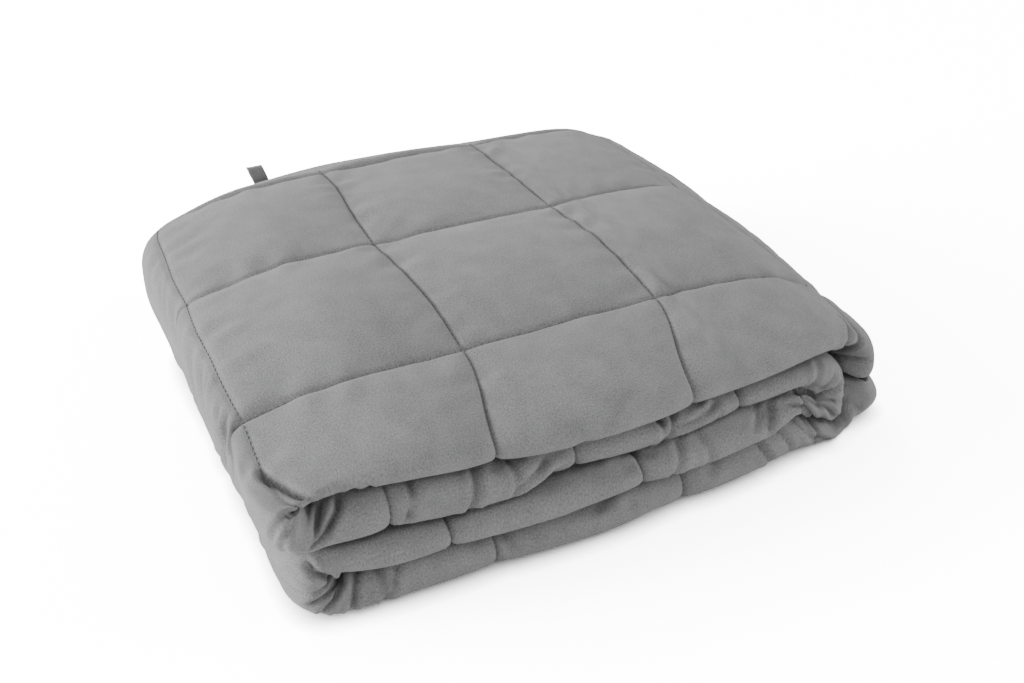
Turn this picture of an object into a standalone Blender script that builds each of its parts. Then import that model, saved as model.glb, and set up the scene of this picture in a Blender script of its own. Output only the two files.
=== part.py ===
"""A weighted blanket: quilted in squares, folded lengthwise into a strip, and the strip
folded back and forth into a bundle of four layers that lies on a surface.

The bundle is one section of its layers in the XZ plane, carried across the depth Y.
X runs along the front fold, Y goes to the back, Z is up, and the origin is under the
middle of the bundle. Sizes in the tables are in quilted squares.
"""

import math
from bisect import bisect_left
from collections import namedtuple

import bmesh
import bpy
from mathutils import Vector

# Driving sizes
SQUARE = 0.127            # side of one quilted square, seam to seam
LAYER_GAP = 0.024         # space between two layers, in squares
TOP = 0.91                # height of the seams on top, in squares
MIDDLE_X = 1.603          # middle of the bundle, counted from the left seam
MIDDLE_Y = 0.887          # middle of the bundle, counted from the front seam

# Heights of the spaces between the layers, at places along X
Level = namedtuple("Level", "x join_12 join_23 join_34")
LEVELS = [
    Level(0.00, 0.660, 0.405, 0.205),
    Level(0.50, 0.625, 0.360, 0.205),
    Level(1.00, 0.565, 0.365, 0.210),
    Level(2.20, 0.525, 0.385, 0.215),
    Level(3.00, 0.530, 0.385, 0.210),
]

# The turns of the strip: where the turn's inner edge lies, how far it bulges past it, and
# the squareness of its upper and its lower half
Turn = namedtuple("Turn", "tip_x reach square_above square_below")
LEFT_UPPER = Turn(0.20, 0.280, 3.0, 3.8)
RIGHT_INNER = Turn(2.60, 0.390, 2.6, 3.4)
LEFT_LOWER = Turn(0.25, 0.255, 3.4, 2.5)

# The strip's two ends lie against the right side, one hanging and one turned up. Each has
# the squareness of its corner outside and inside
Wall = namedtuple("Wall", "outer_x inner_x end_z turn_x turn_z squareness inner_squareness")
HANGING_END = Wall(3.27, 3.045, 0.290, 2.10, 0.36, 2.2, 5.0)
TURNED_UP_END = Wall(3.26, 3.045, 0.240, 2.78, 0.19, 4.5, 2.0)

# How each stretch of the strip lies in depth, and how far its quilting is raised on the
# outer face and on the front fold. pleat is the height of the gathers in a turn's front
Stretch = namedtuple("Stretch", "front_y front_round back_y puff front_puff pleat")
STRETCHES = {
    "hanging_end": Stretch(-0.40, 0.24, 2.40, 0.040, 0.030, 0.000),
    "shoulder": Stretch(-0.41, 0.50, 2.40, 0.050, 0.035, 0.004),
    "layer_1": Stretch(-0.50, 0.44, 2.42, 0.085, 0.050, 0.000),
    "left_upper": Stretch(-0.50, 0.26, 2.42, 0.030, 0.020, 0.018),
    "layer_2": Stretch(-0.40, 0.16, 2.38, 0.000, 0.040, 0.000),
    "right_inner": Stretch(-0.46, 0.20, 2.38, 0.000, 0.015, 0.014),
    "layer_3": Stretch(-0.48, 0.17, 2.43, 0.000, 0.035, 0.000),
    "left_lower": Stretch(-0.48, 0.22, 2.43, 0.012, 0.015, 0.020),
    "layer_4": Stretch(-0.45, 0.17, 2.40, 0.000, 0.045, 0.000),
    "turned_up_end": Stretch(-0.45, 0.14, 2.38, 0.020, 0.020, 0.010),
}
STRETCH_EASE = 0.22       # share of a stretch over which its sizes pass into the next one's

# Where a front fold comes forward of its layer's line (plus), or stays behind it (minus)
Forward = namedtuple("Forward", "stretch x forward")
FORWARDS = [
    Forward("layer_1", 1.10, 0.000),
    Forward("layer_1", 0.60, -0.035),
    Forward("layer_1", 0.25, -0.050),
    Forward("left_upper", -0.05, 0.000),
    Forward("layer_2", 0.35, 0.050),
    Forward("layer_2", 1.00, 0.050),
    Forward("layer_2", 1.22, 0.000),
    Forward("layer_4", 2.77, 0.000),
    Forward("turned_up_end", 3.05, -0.050),
]

# The outline seen from above: the front bows out, and the back left corner is rounded
FRONT_BOW = 0.11
BOW_X = 1.55
BOW_HALF_LENGTH = 1.65
BACK_CORNER = 0.42        # how far the back edge comes forward at the left end
BACK_CORNER_X = 1.15      # where it starts to
RIGHT_DRAWN_IN = 0.12     # how far the right side's top comes in at its front corner
DRAWN_IN_X = (2.5, 3.2)
DRAWN_IN_Y = (1.3, -0.1)

# Where the top sinks below its level, because the filling has slid away, or stands above
# it. Each passes from nothing at the first place to its full size at the second
FRONT_SINK = 0.16
FRONT_SINK_Y = (0.6, -0.6)
LEFT_SINK = 0.075
LEFT_SINK_X = (0.6, -0.05)
BACK_LEFT_SINK = 0.03
BACK_LEFT_SINK_X = (1.2, 0.5)
BACK_LEFT_SINK_Y = (1.5, 2.2)
SHOULDER_FILL = 0.055
SHOULDER_X = 2.85
SHOULDER_WIDTH = 0.35
SHOULDER_FILL_Y = (0.3, 0.9)

# In front, the cloth of the inner turn hangs down over the lowest layer, so the boundary of
# the two lowest layers rises and falls there. Above SPILL_TOP nothing moves
SPILL_X = (2.00, 2.30, 2.58, 2.74, 2.93, 3.04)
SPILL_Z = (0.214, 0.235, 0.275, 0.190, 0.120, 0.210)
SPILL_Y = (0.10, -0.30)
SPILL_TOP = 0.50

# The back of the strip: the free hem of the top ply, and under it the inner fold.
# across is the share of the layer's thickness, from its inner face to its outer face
Back = namedtuple("Back", "before_edge across")
BACK = [
    Back(0.205, 0.000),
    Back(0.080, 0.020),
    Back(0.015, 0.110),
    Back(0.000, 0.200),
    Back(0.045, 0.310),
    Back(0.160, 0.370),
    Back(0.220, 0.395),
    Back(0.160, 0.430),
    Back(0.000, 0.460),
    Back(0.000, 0.560),
    Back(0.060, 0.700),
    Back(0.150, 0.850),
    Back(0.260, 0.960),
]
HEM_LOWER_CORNER = 8      # row of BACK that is the hem's lower corner

# Seams that run across the strip: the stretch, and the place along X of its outer face.
# drift is how far a seam moves along the strip at the places DRIFT_ROWS across it
Seam = namedtuple("Seam", "stretch x drift")
DRIFT_ROWS = (-0.6, 0.0, 1.0, 2.0)
STRAIGHT = (0.0, 0.0, 0.0, 0.0)
SEAMS = [
    Seam("shoulder", 3.00, (-0.10, -0.09, 0.10, 0.10)),
    Seam("layer_1", 2.00, (0.13, -0.02, 0.01, 0.00)),
    Seam("layer_1", 1.00, (0.10, 0.00, 0.03, -0.03)),
    Seam("left_upper", 0.00, (0.00, 0.00, 0.00, -0.02)),
    Seam("layer_2", 0.45, STRAIGHT),
    Seam("layer_2", 1.32, STRAIGHT),
    Seam("layer_2", 2.23, STRAIGHT),
    Seam("layer_3", 2.58, STRAIGHT),
    Seam("layer_3", 1.63, STRAIGHT),
    Seam("layer_3", 0.69, STRAIGHT),
    Seam("left_lower", -0.02, STRAIGHT),
    Seam("layer_4", 0.91, STRAIGHT),
    Seam("layer_4", 1.90, STRAIGHT),
    Seam("layer_4", 2.75, STRAIGHT),
]

# Steps of the mesh
QUILT_STEPS = (0.0, 0.05, 0.2, 0.5, 0.8, 0.95)
TURN_STEPS = (0.0, 0.06, 0.14, 0.24, 0.35, 0.46, 0.57, 0.68, 0.79, 0.88, 0.95)
TURN_IS_LONGER = 1.12     # a square whose longer face is this much longer has a turn in it
OUTER_ROWS = (2.06, 2.0, 1.94, 1.78, 1.5, 1.22, 1.06, 1.0, 0.94, 0.78, 0.5, 0.22, 0.06, 0.0)
INNER_ROWS = (0.1, 0.6, 1.1, 1.6)    # points on the face that lies inside the bundle
FOLD_CLEAR = 0.035        # from the front fold or the hem to the nearest row
CLEAR_BY_ROW = 6.0        # rows further back keep more of it
CROWDED = 0.2             # rows that would run into the hem keep this share of their spacing
FRONT_STEPS = 9           # points round the front fold
END_ROUND = 0.05          # length over which an end of the strip thins
END_STEPS = (0.0, 0.3, 1.0)
END_CLEAR = 1.3           # first ring after an end, as a share of END_ROUND
THINNEST_END = 0.22       # share of the thickness that is left at an end
SEAM_SHARPNESS = 0.55     # below 1 the raised squares have steep sides beside the seams
SWELL_SHARPNESS = 0.7
PLEAT_EVEN = 0.7          # share of a pleat that all have, and the share that comes and goes
PLEAT_UNEVEN = 0.3
PLEAT_TURN = 2.4

# The loop of ribbon sewn into the hem at the back of the top layer
LOOP_X = 0.78             # place along the hem, in squares
RIBBON_WIDTH = 0.012
RIBBON_THICK = 0.0014
LOOP_HEIGHT = 0.0165      # from the ribbon's sewn ends to the top of the loop
LOOP_OPEN = 0.0068        # between the ribbon's two sides, at the widest
LOOP_LEAN_X = -0.30       # how far the loop leans to the left and to the back, as a slope
LOOP_LEAN_Y = 0.06
LOOP_PARTS = 0.0048       # height at which the ribbon's two sides part
LOOP_ROUND_TOP = 0.85     # how round the loop's top is, and how straight its sides are
LOOP_STRAIGHT_SIDES = 0.5
LOOP_STEPS = 28
SEWN_ENDS_APART = 0.0004
SEAT_GAP = 0.0003         # between the ribbon and the hem

CLOTH_COLOR = (0.30, 0.30, 0.31, 1.0)
CLOTH_ROUGHNESS = 0.9
RIBBON_COLOR = (0.26, 0.26, 0.27, 1.0)
RIBBON_ROUGHNESS = 0.7

Station = namedtuple("Station", "outer inner stretch share")


def smooth_step(value, start, stop):
    """0 at start and 1 at stop, joined smoothly."""
    t = min(max((value - start) / (stop - start), 0.0), 1.0)
    return t * t * (3.0 - 2.0 * t)


def level(name, x):
    """Height of a space between two layers at x, read from LEVELS."""
    for low, high in zip(LEVELS, LEVELS[1:]):
        if x <= high.x:
            t = smooth_step(x, low.x, high.x)
            return getattr(low, name) * (1.0 - t) + getattr(high, name) * t
    return getattr(LEVELS[-1], name)


def above(name, x):
    return level(name, x) + LAYER_GAP / 2


def below(name, x):
    return level(name, x) - LAYER_GAP / 2


def spill(point):
    """A point near the front, moved with the boundary of the two lowest layers."""
    if SPILL_X[0] < point.x < SPILL_X[-1] and point.z < SPILL_TOP:
        was = level("join_34", point.x)
        now = between(point.x, SPILL_X, SPILL_Z)
        if point.z < was:
            moved = point.z * now / was
        else:
            moved = now + (point.z - was) * (SPILL_TOP - now) / (SPILL_TOP - was)
        point.z += (moved - point.z) * smooth_step(point.y, *SPILL_Y)


def round_arc(center, radii, angle, squareness):
    """Point on a squarish ellipse; angle 0 is +X and a quarter turn is +Z."""
    c = math.cos(angle)
    s = math.sin(angle)
    power = 2.0 / squareness
    x = math.copysign(abs(c) ** power, c)
    z = math.copysign(abs(s) ** power, s)
    return Vector((center[0] + radii[0] * x, center[1] + radii[1] * z))


def steps(count):
    return [i / count for i in range(count)]


def hanging_end():
    """The end that hangs down the right side, from its hem up to the shoulder."""
    wall = HANGING_END
    for t in steps(24):
        z = wall.end_z + (wall.turn_z - wall.end_z) * t
        yield Vector((wall.outer_x, z)), Vector((wall.inner_x, z))


def shoulder():
    """The strip turns from the right side onto the top."""
    wall = HANGING_END
    turn = (wall.turn_x, wall.turn_z)
    radii = (wall.outer_x - wall.turn_x, TOP - wall.turn_z)
    ceiling = above("join_12", wall.inner_x)
    inner_radii = (wall.inner_x - wall.turn_x, ceiling - wall.turn_z)
    for t in steps(40):
        angle = t * math.pi / 2
        inner = round_arc(turn, inner_radii, angle, wall.inner_squareness)
        yield round_arc(turn, radii, angle, wall.squareness), inner


def layer_1():
    start = HANGING_END.turn_x
    for t in steps(90):
        x = start + (LEFT_UPPER.tip_x - start) * t
        yield Vector((x, TOP)), Vector((x, above("join_12", x)))


def left_turn(turn, high, low, join):
    """A turn at the left: down round the inner edge at the turn's tip."""
    center = (turn.tip_x, (high + low) / 2)
    radii = (turn.reach, (high - low) / 2)
    tip = (turn.tip_x, level(join, turn.tip_x))
    for t in steps(60):
        angle = math.pi / 2 + t * math.pi
        squareness = turn.square_above if t < 0.5 else turn.square_below
        outer = round_arc(center, radii, angle, squareness)
        inner = round_arc(tip, (LAYER_GAP / 2, LAYER_GAP / 2), angle, 2.0)
        yield outer, inner


def left_upper():
    low = above("join_23", LEFT_UPPER.tip_x)
    yield from left_turn(LEFT_UPPER, TOP, low, "join_12")


def layer_2():
    start = LEFT_UPPER.tip_x
    for t in steps(90):
        x = start + (RIGHT_INNER.tip_x - start) * t
        yield Vector((x, above("join_23", x))), Vector((x, below("join_12", x)))


def right_inner():
    """The turn inside the bundle at the right, round the tip between layers 2 and 3."""
    turn = RIGHT_INNER
    high = below("join_12", turn.tip_x)
    low = above("join_34", turn.tip_x)
    tip = (turn.tip_x, level("join_23", turn.tip_x))
    for t in steps(60):
        angle = math.pi / 2 - t * math.pi
        radii = (turn.reach, (high - low) / 2)
        squareness = turn.square_above if t < 0.5 else turn.square_below
        inner = round_arc((turn.tip_x, (high + low) / 2), radii, angle, squareness)
        yield round_arc(tip, (LAYER_GAP / 2, LAYER_GAP / 2), angle, 2.0), inner


def layer_3():
    start = RIGHT_INNER.tip_x
    for t in steps(90):
        x = start + (LEFT_LOWER.tip_x - start) * t
        yield Vector((x, below("join_23", x))), Vector((x, above("join_34", x)))


def left_lower():
    high = below("join_23", LEFT_LOWER.tip_x)
    yield from left_turn(LEFT_LOWER, high, 0.0, "join_34")


def layer_4():
    start = LEFT_LOWER.tip_x
    for t in steps(90):
        x = start + (TURNED_UP_END.turn_x - start) * t
        yield Vector((x, 0.0)), Vector((x, below("join_34", x)))


def turned_up_end():
    """The other end, turned up against the right side."""
    wall = TURNED_UP_END
    ceiling = below("join_34", wall.turn_x)
    radii = (wall.outer_x - wall.turn_x, wall.turn_z)
    inner_turn = (wall.turn_x, wall.end_z)
    inner_radii = (wall.inner_x - wall.turn_x, wall.end_z - ceiling)
    for t in steps(40):
        angle = t * math.pi / 2 - math.pi / 2
        inner = round_arc(inner_turn, inner_radii, angle, wall.inner_squareness)
        yield round_arc((wall.turn_x, wall.turn_z), radii, angle, wall.squareness), inner
    for t in (0.0, 0.5, 1.0):
        z = wall.turn_z + (wall.end_z - wall.turn_z) * t
        yield Vector((wall.outer_x, z)), Vector((wall.inner_x, wall.end_z))


class Strip:
    """The section of the strip from end to end, with lengths along its middle."""

    def __init__(self):
        makers = (hanging_end, shoulder, layer_1, left_upper, layer_2, right_inner,
                  layer_3, left_lower, layer_4, turned_up_end)
        self.pairs = []
        for maker in makers:
            points = list(maker())
            for i, (outer, inner) in enumerate(points):
                self.pairs.append(Station(outer, inner, maker.__name__, i / len(points)))
        self.run = [0.0]
        for a, b in zip(self.pairs, self.pairs[1:]):
            middle_a = (a.outer + a.inner) / 2
            middle_b = (b.outer + b.inner) / 2
            self.run.append(self.run[-1] + (middle_b - middle_a).length)
        self.total = self.run[-1]
        self.on_seams = [self.length_at(seam.stretch, seam.x) for seam in SEAMS]
        before = self.on_seams[0] - 1.0
        after = self.on_seams[-1] + 1.0
        self.seams = [before] + self.on_seams + [after]
        self.forwards = [self.length_at(row.stretch, row.x) for row in FORWARDS]

    def length_at(self, stretch, x):
        """The length at which a stretch's outer face is nearest to x."""
        near = [(abs(pair.outer.x - x), s) for pair, s in zip(self.pairs, self.run)
                if pair.stretch == stretch]
        return min(near)[1]

    def at(self, s):
        """The pair at length s, interpolated."""
        s = min(max(s, 0.0), self.total)
        i = min(max(bisect_left(self.run, s), 1), len(self.run) - 1)
        t = (s - self.run[i - 1]) / (self.run[i] - self.run[i - 1])
        a = self.pairs[i - 1]
        b = self.pairs[i]
        near = a if t < 0.5 else b
        outer = a.outer.lerp(b.outer, t)
        return Station(outer, a.inner.lerp(b.inner, t), near.stretch, near.share)

    def longer_face(self, start, stop):
        """Length of the longer face between two lengths along the strip."""
        inside = [p for p, s in zip(self.pairs, self.run) if start <= s <= stop]
        outer = sum((b.outer - a.outer).length for a, b in zip(inside, inside[1:]))
        inner = sum((b.inner - a.inner).length for a, b in zip(inside, inside[1:]))
        return max(outer, inner)

    def rings(self):
        """Lengths at which the strip gets a ring: closer at seams and round turns."""
        found = []
        for start, stop in zip(self.seams, self.seams[1:]):
            turns = self.longer_face(start, stop) > TURN_IS_LONGER * (stop - start)
            fractions = TURN_STEPS if turns else QUILT_STEPS
            found += [start + (stop - start) * f for f in fractions]
        clear = END_ROUND * END_CLEAR
        inside = [s for s in found if clear < s < self.total - clear]
        first = [END_ROUND * e for e in END_STEPS]
        last = [self.total - END_ROUND * e for e in reversed(END_STEPS)]
        return first + inside + last


def between(value, places, values):
    """Values at places, joined by straight lines."""
    if value <= places[0]:
        return values[0]
    for i in range(1, len(places)):
        if value <= places[i]:
            t = (value - places[i - 1]) / (places[i] - places[i - 1])
            return values[i - 1] * (1.0 - t) + values[i] * t
    return values[-1]


def drift(strip, s, y):
    """How far the seams have moved along the strip at length s and depth y."""
    moved = [between(y, DRIFT_ROWS, seam.drift) for seam in SEAMS]
    return between(s, [0.0] + strip.on_seams, [0.0] + moved)


def rise(s, seams):
    """0 on a seam across the strip and 1 midway between two."""
    for start, stop in zip(seams, seams[1:]):
        if start <= s <= stop:
            wave = abs(math.sin(math.pi * (s - start) / (stop - start)))
            return wave ** SEAM_SHARPNESS
    return 0.0


def row_rise(y):
    """0 on a seam that runs along the strip and 1 midway between two."""
    return abs(math.sin(math.pi * y)) ** SEAM_SHARPNESS


def blend_stretch(station):
    """Sizes of the stretch at a station, eased into those of the stretches beside it."""
    names = list(STRETCHES)
    here = names.index(station.stretch)
    other = here
    weight = 0.0
    if station.share < STRETCH_EASE and here > 0:
        other = here - 1
        weight = 0.5 * (1.0 - station.share / STRETCH_EASE)
    elif station.share > 1.0 - STRETCH_EASE and here < len(names) - 1:
        other = here + 1
        weight = 0.5 * (1.0 - (1.0 - station.share) / STRETCH_EASE)
    a = STRETCHES[names[here]]
    b = STRETCHES[names[other]]
    return Stretch(*[p * (1.0 - weight) + q * weight for p, q in zip(a, b)])


def front_line(front_y, x):
    """The front edge at x, with the bow of the bundle."""
    from_middle = min(abs(x - BOW_X) / BOW_HALF_LENGTH, 1.0)
    return front_y - FRONT_BOW * (1.0 - from_middle ** 2)


def back_line(back_y, x):
    """The back edge at x, with the rounded left corner."""
    into_corner = max(0.0, (BACK_CORNER_X - x) / BACK_CORNER_X)
    return back_y - BACK_CORNER * min(into_corner, 1.0) ** 2


def sink(x, y):
    """How far the top lies below its level at x and y."""
    front = FRONT_SINK * smooth_step(y, *FRONT_SINK_Y)
    left = LEFT_SINK * smooth_step(x, *LEFT_SINK_X)
    corner = smooth_step(x, *BACK_LEFT_SINK_X) * smooth_step(y, *BACK_LEFT_SINK_Y)
    from_shoulder = (x - SHOULDER_X) / SHOULDER_WIDTH
    full = math.exp(-from_shoulder ** 2) * smooth_step(y, *SHOULDER_FILL_Y)
    return front + left + BACK_LEFT_SINK * corner - SHOULDER_FILL * full


def settle(point, floor_of_layer):
    """A point of the top layer, moved to where the filling leaves it."""
    share = min(max((point.z - floor_of_layer) / (TOP - floor_of_layer), 0.0), 1.0)
    point.z -= sink(point.x, point.y) * share


def draw_in(point):
    """A point of the right side, drawn in towards its front corner, most at the top."""
    inward = smooth_step(point.x, *DRAWN_IN_X) * smooth_step(point.y, *DRAWN_IN_Y)
    point.x -= RIGHT_DRAWN_IN * inward * min(max(point.z / TOP, 0.0), 1.0)


def ring_points(strip, s, index):
    """One ring round the strip: outer face, front fold, inner face, and the back."""
    station = strip.at(s)
    sizes = blend_stretch(station)
    squeeze = 1.0
    from_end = min(s, strip.total - s)
    if from_end < END_ROUND:
        squeeze = max(THINNEST_END, math.sqrt(1.0 - (1.0 - from_end / END_ROUND) ** 2))
    groove = rise(s, strip.seams)
    middle_x = (station.outer.x + station.inner.x) / 2
    forward = between(s, strip.forwards, [row.forward for row in FORWARDS])
    front_start = front_line(sizes.front_y, middle_x) - forward + sizes.front_round
    back_y = back_line(sizes.back_y, middle_x)
    on_top = station.stretch in ("hanging_end", "shoulder", "layer_1", "left_upper")
    points = []

    def add(y, share, out=0.0, push=0.0):
        here = strip.at(s + drift(strip, s, y)) if on_top else station
        across = here.outer - here.inner
        share = 0.5 + (share - 0.5) * squeeze
        flat = here.inner + across * share + across.normalized() * out
        point = Vector((flat.x, y - push, flat.y))
        spill(point)
        if on_top:
            settle(point, level("join_12", point.x))
        draw_in(point)
        point.z = max(point.z, 0.0)
        points.append(point)

    last_row = back_y - BACK[-1].before_edge - FOLD_CLEAR
    for y in OUTER_ROWS:
        y = min(y, last_row - (OUTER_ROWS[0] - y) * CROWDED)
        y = max(y, front_start + FOLD_CLEAR * (1.0 + CLEAR_BY_ROW * y))
        lift = sizes.puff * groove * row_rise(y) * squeeze
        add(y, 1.0, lift)
    for i in range(FRONT_STEPS):
        angle = math.pi * i / (FRONT_STEPS - 1)
        y = front_start - sizes.front_round * math.sin(angle)
        full = math.sin(angle) ** SWELL_SHARPNESS
        swell = sizes.front_puff * groove * full * squeeze
        uneven = PLEAT_EVEN + PLEAT_UNEVEN * math.sin(PLEAT_TURN * index)
        ripple = sizes.pleat * full * math.cos(math.pi * index) * uneven
        share = 0.5 + 0.5 * math.cos(angle)
        add(y, share, swell * math.cos(angle), swell * math.sin(angle) + ripple)
    for y in INNER_ROWS:
        add(max(y, front_start + FOLD_CLEAR * (1.0 + y)), 0.0)
    for row in BACK:
        add(back_y - row.before_edge, row.across)
    return points


def to_world(point):
    """From squares, counted from the left and front seams, to metres."""
    return Vector((point.x - MIDDLE_X, point.y - MIDDLE_Y, point.z)) * SQUARE


def build_blanket(collection, material):
    """The blanket, and the line of its hem's lower back corner from ring to ring."""
    strip = Strip()
    bm = bmesh.new()
    rings = []
    for index, s in enumerate(strip.rings()):
        points = ring_points(strip, s, index)
        rings.append([bm.verts.new(to_world(p)) for p in points])
    hem = [ring[HEM_LOWER_CORNER - len(BACK)].co.copy() for ring in rings]
    for ring, after in zip(rings, rings[1:]):
        for i, vert in enumerate(ring):
            j = (i + 1) % len(ring)
            bm.faces.new((vert, ring[j], after[j], after[i]))
    for ring in (rings[0], rings[-1]):
        center = bm.verts.new(sum((v.co for v in ring), Vector()) / len(ring))
        for i, vert in enumerate(ring):
            bm.faces.new((vert, ring[(i + 1) % len(ring)], center))
    bmesh.ops.triangulate(bm, faces=bm.faces[:], quad_method="SHORT_EDGE")
    bmesh.ops.recalc_face_normals(bm, faces=bm.faces[:])
    add_object("blanket", bm, collection, material)
    return hem


def hem_at(hem, x):
    """The place on the top layer's hem at x, which the strip reaches before its turns."""
    for a, b in zip(hem, hem[1:]):
        if a.x >= x >= b.x:
            return a.lerp(b, (a.x - x) / (a.x - b.x))


def loop_path():
    """The middle of the ribbon, as offsets back and up from the hem's lower corner."""
    side = RIBBON_THICK + SEWN_ENDS_APART
    middle = SEAT_GAP + RIBBON_THICK + SEWN_ENDS_APART / 2
    half_open = (LOOP_OPEN + RIBBON_THICK) / 2
    for i in range(LOOP_STEPS + 1):
        angle = math.pi * i / LOOP_STEPS
        c = math.cos(angle)
        height = LOOP_HEIGHT * math.sin(angle) ** LOOP_ROUND_TOP
        opened = smooth_step(height, LOOP_PARTS, LOOP_PARTS * 2)
        half = side / 2 + (half_open - side / 2) * opened
        yield middle - half * math.copysign(abs(c) ** LOOP_STRAIGHT_SIDES, c), height


def build_hang_loop(hem, collection, material):
    """The loop, with its sewn ends just clear of the part of the hem that comes furthest."""
    bm = bmesh.new()
    middle = (LOOP_X - MIDDLE_X) * SQUARE
    right_end = hem_at(hem, middle + RIBBON_WIDTH / 2)
    foot_z = hem_at(hem, middle).z
    before = None
    for back, up in loop_path():
        left = middle - RIBBON_WIDTH / 2 + LOOP_LEAN_X * up
        near = Vector((left, right_end.y + back + LOOP_LEAN_Y * up, foot_z + up))
        here = (bm.verts.new(near), bm.verts.new(near + Vector((RIBBON_WIDTH, 0.0, 0.0))))
        if before:
            bm.faces.new((before[0], before[1], here[1], here[0]))
        before = here
    bmesh.ops.recalc_face_normals(bm, faces=bm.faces[:])
    loop = add_object("hang_loop", bm, collection, material)
    wall = loop.modifiers.new("ribbon", "SOLIDIFY")
    wall.thickness = RIBBON_THICK
    wall.offset = 0.0
    wall.use_even_offset = True
    return loop


def add_object(name, bm, collection, material):
    mesh = bpy.data.meshes.new(name)
    bm.to_mesh(mesh)
    bm.free()
    mesh.shade_smooth()
    mesh.materials.append(material)
    thing = bpy.data.objects.new(name, mesh)
    collection.objects.link(thing)
    return thing


def make_material(name, color, roughness):
    material = bpy.data.materials.new(name)
    material.use_nodes = True
    shader = material.node_tree.nodes["Principled BSDF"]
    shader.inputs["Base Color"].default_value = color
    shader.inputs["Roughness"].default_value = roughness
    shader.inputs["Metallic"].default_value = 0.0
    return material


def main():
    for thing in list(bpy.data.objects):
        bpy.data.objects.remove(thing)
    collection = bpy.data.collections.new("weighted_blanket")
    bpy.context.scene.collection.children.link(collection)
    cloth = make_material("grey_cloth", CLOTH_COLOR, CLOTH_ROUGHNESS)
    ribbon = make_material("grey_ribbon", RIBBON_COLOR, RIBBON_ROUGHNESS)
    hem = build_blanket(collection, cloth)
    build_hang_loop(hem, collection, ribbon)


main()
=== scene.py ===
"""A folded weighted blanket: quilted in squares, folded into a bundle of four layers."""

import math

import bmesh
import bpy
import numpy as np
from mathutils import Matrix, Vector
from mathutils.bvhtree import BVHTree


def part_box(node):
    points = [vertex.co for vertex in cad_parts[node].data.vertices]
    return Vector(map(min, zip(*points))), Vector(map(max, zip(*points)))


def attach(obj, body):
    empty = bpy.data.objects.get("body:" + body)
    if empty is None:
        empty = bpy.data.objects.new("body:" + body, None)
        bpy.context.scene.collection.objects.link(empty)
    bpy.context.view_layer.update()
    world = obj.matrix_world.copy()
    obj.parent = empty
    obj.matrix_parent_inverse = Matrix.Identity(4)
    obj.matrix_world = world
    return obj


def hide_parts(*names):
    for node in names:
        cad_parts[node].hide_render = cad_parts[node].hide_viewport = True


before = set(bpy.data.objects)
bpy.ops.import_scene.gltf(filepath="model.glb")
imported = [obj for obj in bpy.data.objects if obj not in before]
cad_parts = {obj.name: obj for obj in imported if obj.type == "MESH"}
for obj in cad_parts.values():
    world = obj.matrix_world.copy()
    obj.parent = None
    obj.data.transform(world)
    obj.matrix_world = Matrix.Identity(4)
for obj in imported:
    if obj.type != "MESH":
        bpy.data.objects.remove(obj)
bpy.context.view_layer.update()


# The view. The bundle lies on a plain white floor, lit softly from the upper left. The
# camera looks down on its front left corner; its place is counted in quilted squares
# from the crossing of the left and front seams on top.
SQUARE = 0.127  # side of a quilted square, in metres
MIDDLE_X, MIDDLE_Y = 1.603, 0.887  # the bundle's middle, in squares
TOP = 0.91  # height of its top, in squares
CAMERA_AT = (-0.646, -3.715, 2.481)
CAMERA_YAW = 0.474
CAMERA_PITCH = 0.555
CAMERA_LENS = 37.73
CAMERA_SENSOR = 36.0
FLOOR_SIZE = 14.0
FLOOR_AT = -0.0002
FLOOR_COLOR = (0.86, 0.86, 0.865, 1.0)
FLOOR_SEEN = 14.0  # its brightness as the camera sees it
# painted contact shadow: the floor's seen colour is darkened beside the bundle by an occlusion
# factor
CONTACT_REACH = 0.012  # how far it darkens beside the bundle, and how strongly
CONTACT_DARK = 1.5
WORLD_LIGHT = 0.735
LIT_POINT = Vector((0.0, 0.0, 0.05))
# name, place, size and power of each soft box
LIGHTS = (
    ("key_light", (-5.2, 2.2, 1.8), 3.2, 270.0),
    ("wall_light", (-4.5, 0.7, 0.35), 2.0, 270.0),
    ("back_light", (1.0, 4.6, 3.2), 3.0, 25.0),
    ("fill_light", (4.4, -1.4, 0.9), 2.6, 100.0),
)


def to_world(x, y, z):
    """From squares, counted from the left and front seams, to metres."""
    return np.stack([(x - MIDDLE_X) * SQUARE, (y - MIDDLE_Y) * SQUARE, z * SQUARE], -1)


def placed(name, data):
    """A new object in the scene."""
    thing = bpy.data.objects.new(name, data)
    bpy.context.scene.collection.objects.link(thing)
    return thing


def aim(thing, place, way):
    """Put a camera or lamp at a place, facing a way."""
    thing.location = place
    thing.rotation_euler = Vector(way).to_track_quat("-Z", "Y").to_euler()


def node(tree, kind, **values):
    """A new node. Options go by lower-case name, and sockets by name, with a value or a link."""
    made_node = tree.nodes.new(kind)
    for name, value in values.items():
        if hasattr(made_node, name):
            setattr(made_node, name, value)
        elif isinstance(value, bpy.types.NodeSocket):
            tree.links.new(value, made_node.inputs[name.replace("_", " ")])
        else:
            made_node.inputs[name.replace("_", " ")].default_value = value
    return made_node


def math_node(tree, operation, first, second):
    """A sum, product or the like of two values or sockets."""
    made_node = node(tree, "ShaderNodeMath", operation=operation)
    for socket, value in zip(made_node.inputs, (first, second)):
        if isinstance(value, (int, float)):
            socket.default_value = value
        else:
            tree.links.new(value, socket)
    return made_node.outputs[0]


def new_finish(name, **values):
    """A new material, with its tree and its shader; the shader's sockets are set by name."""
    finish = bpy.data.materials.new(name)
    finish.use_nodes = True
    shader = finish.node_tree.nodes["Principled BSDF"]
    for socket, value in values.items():
        shader.inputs[socket.replace("_", " ")].default_value = value
    return finish, finish.node_tree, shader


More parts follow.
